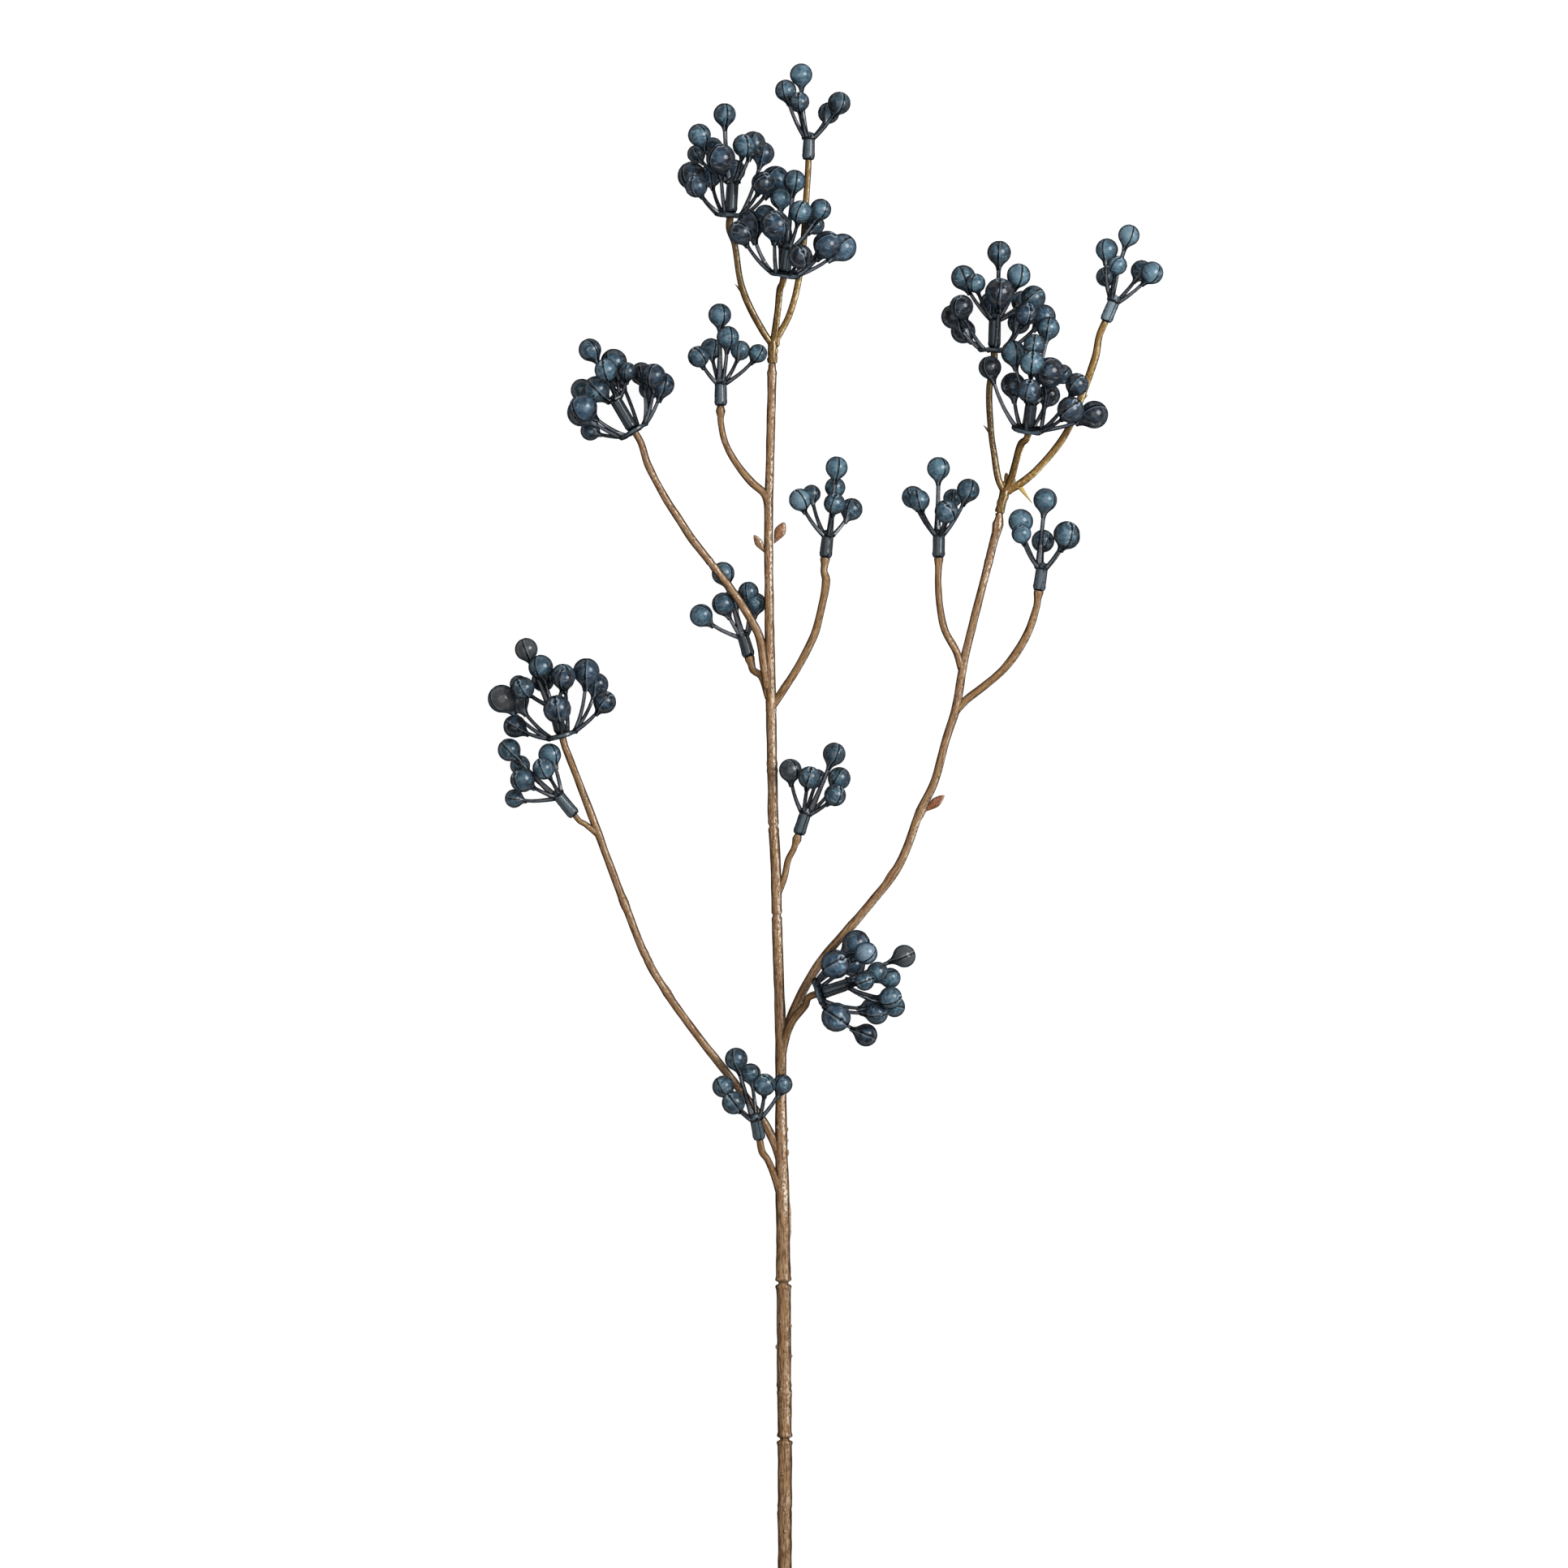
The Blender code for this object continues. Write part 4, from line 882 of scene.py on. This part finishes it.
# "foot" is where the fork stands on the stem, and each prong goes on to what it
# carries.
forks = {
    "fork_top": dict(
        end=(951.4, 448, 19.9), foot=(951.5, 444, 19.95), crotch=(952, 424, 20.2), width=3.6,
        prongs={
            "top_left": [(940, 408, 20.4, 3.3), (920.7, 371.5, 20.8, 3.2), (912, 345, 20.4, 2.9),
                         (905, 300, 20.2, 2.9)],
            "top_right": [(955, 408, 21.5, 3.2), (958, 385, 25.0, 3.0), (961, 357, 30.0, 3.2)],
            "spray_top": [(960, 412, 20.0, 3.1), (972, 390, 19.8, 3.0), (983, 350, 19.6, 3.0),
                          (990, 300, 19.7, 3.0), (993, 250, 19.8, 2.9)],
        },
        tones=dict(top_left=0.5, top_right=0.6, spray_top=0.85),
        thorns=[((912.5, 357, 20.6), (905.5, 350, 21.2), 1.6, 0.5)],
        lumps=[(955.4, 441, 20.4, 1.4), (956, 433, 20.6, 1.8), (958.2, 423, 20.8, 1.5),
               (947.8, 443, 20.0, 1.2)]),
    "fork_right": dict(
        end=(1231, 632, 19.6), foot=(1232, 627, 19.7), crotch=(1238, 606, 20.0), width=3.6,
        prongs={
            "right_upper": [(1230, 590, 19.9, 3.1), (1225, 560, 19.6, 2.9),
                            (1221, 530, 19.2, 2.9), (1219, 480, 18.7, 2.9)],
            "right_lower": [(1245, 592, 21.5, 3.4), (1251, 570, 26.0, 3.2),
                            (1258, 547, 31.5, 3.4)],
            "spray_right_tip": [(1257, 596, 20.0, 3.6), (1275, 581, 19.8, 3.4),
                                (1297, 557, 19.6, 3.3), (1315, 531, 19.6, 3.2),
                                (1332, 490, 19.8, 3.5), (1349.3, 440.7, 20.2, 3.5)],
        },
        tones=dict(right_upper=0.5, right_lower=0.75, spray_right_tip=0.95),
        thorns=[((1218.5, 531, 19.2), (1211.5, 523.5, 19.8), 1.6, 0.5),
                ((1334, 492, 19.9), (1341, 486, 20.4), 1.5, 0.7),
                ((1254, 596.5, 20.0), (1272, 620.5, 19.2), 2.8, 1.2)],
        lumps=[(1230.8, 621, 20.3, 2.0), (1240, 612, 20.6, 1.6), (1252, 598.5, 20.6, 1.5),
               (1245, 601, 20.2, 2.8), (1248.5, 594, 20.4, 2.4), (1240, 590, 20.2, 2.6),
               (1237, 599, 20.2, 2.2), (1244, 592, 20.8, 2.6), (1241, 603, 20.6, 2.6)]),
}

# base, tip, width, tone
buds = {
    "left": ((943, 682, 17.6), (929, 659, 18.4), 3.4, 0.65),
    "right": ((953.5, 670, 17.7), (966.6, 643.5, 18.6), 4.8, 0.75),
    "branch": ((1138, 1001, 15.2), (1163.6, 980, 16.4), 4.1, 1.0),
}

# Grains on the trunk: place and how long for their width.
nubs = [(962, 1630, 1.2), (962, 1713, 1.0), (974, 1635, 1.4), (975, 1672, 1.2), (974, 1718, 1.0),
        (957, 1661, 1.5), (967, 1666, 1.0), (964, 1818, 1.2), (967, 1862, 1.0), (967, 1889, 1.2),
        (973, 1500, 9.0), (974, 1516, 6.0), (971, 1392, 1.6), (971.5, 1406, 1.2),
        (972, 1421, 2.0), (958, 1390, 1.2)]

barkShape = dict(sides=20, ripples=2.3, rippleLength=7 * mm, rippleDepth=0.09,
                 knobLength=13 * mm, knobDepth=0.07, flash=0, grainRun=0.42, offset=0.0,
                 spacing=1.4 * mm)
ochreShape = dict(sides=14, ripples=1.5, rippleLength=9 * mm, rippleDepth=0.07,
                  knobLength=14 * mm, knobDepth=0.08, flash=0, grainRun=0.42, offset=0.0,
                  spacing=1.4 * mm)
collarHalf = 2.4 * mm
tenonShape = dict(radius=0.9 * mm, length=6 * mm)
pinShape = dict(radius=1.0 * mm, length=6 * mm, sides=16)
budShape = dict(columns=20, rows=18, flatness=0.5, neck=0.25, widen=1.54, tip=0.75, belly=0.35,
                widest=0.55, grain=0.3)
thornShape = dict(sides=8, tip=0.08, grain=0.5)
nubShape = dict(width=1.5, height=1.1, tone=0.5)
lumpShape = dict(width=2.2, height=2.0, tone=1.0)
# A fork's body: the share of the way to the crotch, and how much wider than its width.
forkBody = [(0.3, 1.12), (0.5, 1.15), (0.7, 1.2), (0.85, 1.28), (1.0, 1.25)]

# How a twig swells under its sleeve: how far back, as a share of its last length, and
# by how much. What isn't listed swells plainly.
endSwells = {
    "plain": [(1, 0.98), (0, 1)],
    "below": [(1, 0.98), (0.7, 1.0), (0.5, 1.25), (0.34, 1.45), (0.16, 1.25), (0, 1.06)],
    "mouth": [(1, 1.0), (0.6, 1.04), (0.4, 1.16), (0.2, 1.34), (0.08, 1.38), (0, 1.3)],
}
endSwellOf = {
    "spray_middle_left": "below", "spray_middle_right": "mouth", "spray_right_inner": "mouth",
    "spray_right_outer": "mouth", "spray_under_branch": "mouth", "spray_low_middle": "below",
}


def knotsOf(table):
    return [(place(right, down, height), width / 2 * mm) for right, down, height, width in table]


def withCollars(route, collars):
    # A pinch between two swellings where a collar crosses the route.
    half = collarHalf
    rows = sorted(((grid["down"] - down) * grid["step"], swell, pinch)
                  for down, swell, pinch in collars)
    plain = [route[0]]
    plain += [knot for knot in route[1:-1]
              if all(abs(knot[0].y - row[0]) > 1.2 * half for row in rows)]
    plain.append(route[-1])
    result = [plain[0]]
    for (start, r0), (end, r1) in zip(plain, plain[1:]):
        run = end - start
        for height, swell, pinch in rows:
            if start.y < height <= end.y:
                share = (height - start.y) / run.y
                centre = start + run * share
                radius = r0 * (1 - share) + r1 * share
                lean = run.normalized() * half
                steps = ((1.0, (1 + swell) / 2), (0.75, swell), (0.45, swell * 0.97), (0.15, pinch))
                result += [(centre - lean * reach, radius * size) for reach, size in steps]
                result += [(centre + lean * reach, radius * size) for reach, size in steps[::-1]]
        result.append((end, r1))
    return result


def carrier(name, table, shape, collection, collars=(), tone=0.5):
    # The branch, twig or prong that ends in the named head or spray, with its
    # swollen end and the thin tenon in the sleeve.
    mouth, axis = sleeveFit(name)
    width = endWidth if name in heads else min(endWidth, table[-1][3])
    radius = width / 2 * mm
    shoulder = mouth - axis * fitGap
    knots = knotsOf(table)
    span = min(7 * mm, (shoulder - knots[-1][0]).length * 0.6)
    swells = endSwells[endSwellOf.get(name, "plain")]
    knots += [(shoulder - axis * span * share, radius * size) for share, size in swells]
    route = withCollars(smoothRoute(knots, shape["spacing"]), collars)
    route += [(shoulder + axis * 0.05 * mm, tenonShape["radius"]),
              (mouth + axis * tenonShape["length"], tenonShape["radius"])]
    shape = dict(shape, offset=dice.uniform(-50, 50))
    return tube("to_" + name, route, shape, collection, tone=tone)


def bud(base, tip, width, tone, collection):
    # A flat, pointed little leaf bud, widest past its middle, on a thin neck.
    shape = budShape
    bm = bmesh.new()
    bmesh.ops.create_uvsphere(bm, u_segments=shape["columns"], v_segments=shape["rows"],
                              radius=0.5)
    length = (tip - base).length
    bmesh.ops.scale(bm, vec=(width * mm, shape["flatness"] * width * mm, length), verts=bm.verts)
    bmesh.ops.translate(bm, vec=(0, 0, length / 2), verts=bm.verts)
    for vert in bm.verts:
        share = min(1, max(0, vert.co.z / length))
        if share > shape["widest"]:
            swell = shape["tip"] + shape["belly"] * sin(pi * share)
        else:
            swell = shape["neck"] + shape["widen"] * share
        vert.co.x *= swell
        vert.co.y *= swell
    bmesh.ops.transform(bm, matrix=aim((tip - base).normalized(), base), verts=bm.verts)

    def rule(vert):
        return vert.co / mm * shape["grain"], barkMarks(vert, tone)

    return painted(bm, "bud", rule, collection)


def thorn(base, tip, width, tone, collection):
    bm = bmesh.new()
    length = (tip - base).length
    bmesh.ops.create_cone(bm, cap_ends=True, segments=thornShape["sides"],
                          radius1=width / 2 * mm, radius2=thornShape["tip"] * mm, depth=length)
    bmesh.ops.translate(bm, vec=(0, 0, length / 2), verts=bm.verts)
    bmesh.ops.transform(bm, matrix=aim((tip - base).normalized(), base), verts=bm.verts)

    def rule(vert):
        return vert.co / mm * thornShape["grain"], barkMarks(vert, tone)

    return painted(bm, "thorn", rule, collection)


def nub(centre, long, shape, collection):
    # A flattish grain of the moulding that stands out of it.
    bm = bmesh.new()
    size = (shape["width"], shape["width"] * long, shape["height"])
    bmesh.ops.create_icosphere(bm, subdivisions=2, radius=0.5 * mm)
    bmesh.ops.scale(bm, vec=size, verts=bm.verts)
    bmesh.ops.translate(bm, vec=centre, verts=bm.verts)

    def rule(vert):
        return vert.co / mm * thornShape["grain"], barkMarks(vert, shape["tone"])

    return painted(bm, "nub", rule, collection)


def onTrunk(right, down):
    # The point of the trunk's face at this place, or of its edge.
    for upper, lower in zip(trunk["route"][1:], trunk["route"]):
        if upper[1] <= down <= lower[1]:
            share = (lower[1] - down) / (lower[1] - upper[1])
            middle, _, height, width = [a * (1 - share) + b * share for a, b in zip(lower, upper)]
            reach = width / 2 / (grid["step"] / mm)
            side = max(-0.96, min(0.96, (right - middle) / reach))
            return place(middle + side * reach, down, height + width / 2 * (1 - side * side) ** 0.5)


def bore(piece, start, axis, depth):
    bm = bmesh.new()
    radius = pinShape["radius"] + fitGap
    bmesh.ops.create_cone(bm, cap_ends=True, segments=pinShape["sides"], radius1=radius,
                          radius2=radius, depth=depth * 2)
    bmesh.ops.transform(bm, matrix=aim(axis, start), verts=bm.verts)
    cutter = painted(bm, "cutter", lambda vert: (vert.co, (0, 0, 3, 0.5)),
                     bpy.context.scene.collection)
    cut = piece.modifiers.new("cut", "BOOLEAN")
    cut.operation = "DIFFERENCE"
    cut.solver = "MANIFOLD"
    cut.object = cutter
    bpy.context.view_layer.update()
    result = bpy.data.meshes.new_from_object(
        piece.evaluated_get(bpy.context.evaluated_depsgraph_get()))
    piece.modifiers.clear()
    piece.data = result
    bpy.data.objects.remove(cutter, do_unlink=True)


def toneAlong(rows):
    # A rule for a tone that changes on the way down, from rows (down, tone).
    def rule(point):
        down = grid["down"] - point.y / grid["step"]
        for (upper, upperTone), (lower, lowerTone) in zip(rows, rows[1:]):
            if down <= lower:
                share = max(0, (down - upper) / (lower - upper))
                return upperTone * (1 - share) + lowerTone * share
        return rows[-1][1]
    return rule


def makeStem():
    shape = dict(barkShape, sides=trunk["sides"], offset=3.0)
    route = withCollars(smoothRoute(knotsOf(trunk["route"]), trunk["spacing"]), trunk["collars"])
    base = tube("trunk", route, shape, bpy.context.scene.collection, tone=toneAlong(trunk["tones"]))
    carrier("left_lower", branches["left_lower"]["route"], barkShape, repeats,
            collars=branches["left_lower"]["collars"], tone=0.35)
    carrier("left", branches["left"]["route"], barkShape, repeats,
            collars=branches["left"]["collars"], tone=0.4)
    right = smoothRoute(knotsOf(branches["right"]["route"]), barkShape["spacing"])
    tube("right", withCollars(right, branches["right"]["collars"]),
         dict(barkShape, offset=17.0), repeats, tone=toneAlong(branches["right"]["tones"]))
    for name, table in twigs.items():
        carrier(name, table, barkShape, repeats, tone=0.2)
    for basePlace, tipPlace, width, tone in buds.values():
        bud(place(*basePlace), place(*tipPlace), width, tone, repeats)
    for right, down, long in nubs:
        nub(onTrunk(right, down), long, nubShape, repeats)
    piece = join(base, repeats, "stem_fine", 60)
    for fork in forks.values():
        axis = (place(*fork["crotch"]) - place(*fork["foot"])).normalized()
        bore(piece, place(*fork["end"]), axis, pinShape["length"] + fitGap)
    finishPiece(piece, "stem", finishes["stem"])


def makeFork(node, parts):
    end = place(*parts["end"])
    crotch = place(*parts["crotch"])
    axis = (crotch - place(*parts["foot"])).normalized()
    foot = end + axis * fitGap
    radius = parts["width"] / 2 * mm
    route = [(end - axis * pinShape["length"], pinShape["radius"]), (foot, pinShape["radius"]),
             (foot + axis * 0.05 * mm, radius * 1.05), (foot + axis * 0.7 * mm, radius * 1.18)]
    route += [(foot.lerp(crotch, share), radius * size) for share, size in forkBody]
    route += [(crotch + axis * 1.5 * mm, radius * 1.0), (crotch + axis * 3.5 * mm, radius * 0.6)]
    base = tube("pin", route, dict(ochreShape, sides=18, offset=9.0, knobLength=3 * mm,
                                   knobDepth=0.16), bpy.context.scene.collection, tone=0.45)
    for name, table in parts["prongs"].items():
        right, down, height = parts["crotch"]
        carrier(name, [(right, down + 2, height, 3.0)] + table, ochreShape, repeats,
                tone=parts["tones"][name])
    for basePlace, tipPlace, width, tone in parts["thorns"]:
        thorn(place(*basePlace), place(*tipPlace), width, tone, repeats)
    for right, down, height, long in parts["lumps"]:
        nub(place(right, down, height), long, lumpShape, repeats)
    piece = join(base, repeats, node + "_fine", 60)
    finishPiece(piece, node, finishes["fork"])


makeStem()
for node, parts in forks.items():
    makeFork(node, parts)
bpy.data.collections.remove(repeats)
print("stem and forks are made")


# Table, light and camera

def paperFinish():
    paint = Finish("paleTable")
    grain = paint.cloud(paint.add("ShaderNodeTexCoord", {}, {}, "Object"), 40)
    return paint.shade({
        "Base Color": paint.blend(grain, (0.25, 0.25, 0.25), (0.27, 0.27, 0.27)),
        "Roughness": 0.9, "Specular IOR Level": 0.0,
        "Emission Color": (1, 1, 1, 1), "Emission Strength": 0.93})


studio = dict(floorSize=6.0, floorDrop=0.2 * mm, aimedAt=(0, 0.05, 0), keySize=0.8, keyPower=19,
              keyPlace=(0.95, 0.5, 1.1), topSize=2.6, topPower=21, topPlace=(0, 0.05, 2.2),
              wallStrength=0.9, ceilingStrength=0.10, wallTop=0.05, ceilingFrom=0.2)

bm = bmesh.new()
bmesh.ops.create_grid(bm, x_segments=1, y_segments=1, size=studio["floorSize"] / 2)
bmesh.ops.translate(bm, vec=(0, 0, -studio["floorDrop"]), verts=bm.verts)
floorMesh = bpy.data.meshes.new("table")
bm.to_mesh(floorMesh)
bm.free()
floor = addObject("table", floorMesh, bpy.context.scene.collection)
floorMesh.materials.append(paperFinish())


def areaLight(name, position, target, size, power):
    data = bpy.data.lights.new(name, "AREA")
    data.shape = "DISK"
    data.size = size
    data.energy = power
    lamp = addObject(name, data, bpy.context.scene.collection)
    turn = (Vector(target) - Vector(position)).to_track_quat("-Z", "Y")
    lamp.matrix_world = Matrix.Translation(position) @ turn.to_matrix().to_4x4()


areaLight("key", studio["keyPlace"], studio["aimedAt"], studio["keySize"], studio["keyPower"])
areaLight("top", studio["topPlace"], studio["aimedAt"], studio["topSize"], studio["topPower"])

# The studio has bright walls and a dim ceiling.
world = bpy.data.worlds.new("studio")
world.use_nodes = True
sky = Nodes(world.node_tree)
direction = sky.add("ShaderNodeTexCoord", {}, {}, "Generated")
strength = sky.add("ShaderNodeMapRange", {}, {
    "Value": sky.add("ShaderNodeSeparateXYZ", {}, {0: direction}, "Z"),
    "From Min": studio["wallTop"], "From Max": studio["ceilingFrom"],
    "To Min": studio["wallStrength"], "To Max": studio["ceilingStrength"]})
sky.set(sky.tree.nodes["Background"], dict(Strength=strength, Color=(1, 1, 1, 1)))
bpy.context.scene.world = world
bpy.context.scene.view_settings.view_transform = "Standard"

# The camera looks straight down, with the tip of the sprig up in the frame.
photo = dict(pixels=1932, middle=966, distance=6.0, height=20, sensor=36)
centre = place(photo["middle"], photo["middle"], photo["height"])
lens = bpy.data.cameras.new("camera")
lens.sensor_width = photo["sensor"]
lens.lens = photo["sensor"] * photo["distance"] / (photo["pixels"] * grid["step"])
lens.clip_end = 20
camera = addObject("camera", lens, bpy.context.scene.collection)
camera.location = centre + Vector((0, 0, photo["distance"]))
bpy.context.scene.camera = camera
print("camera and lights are set")
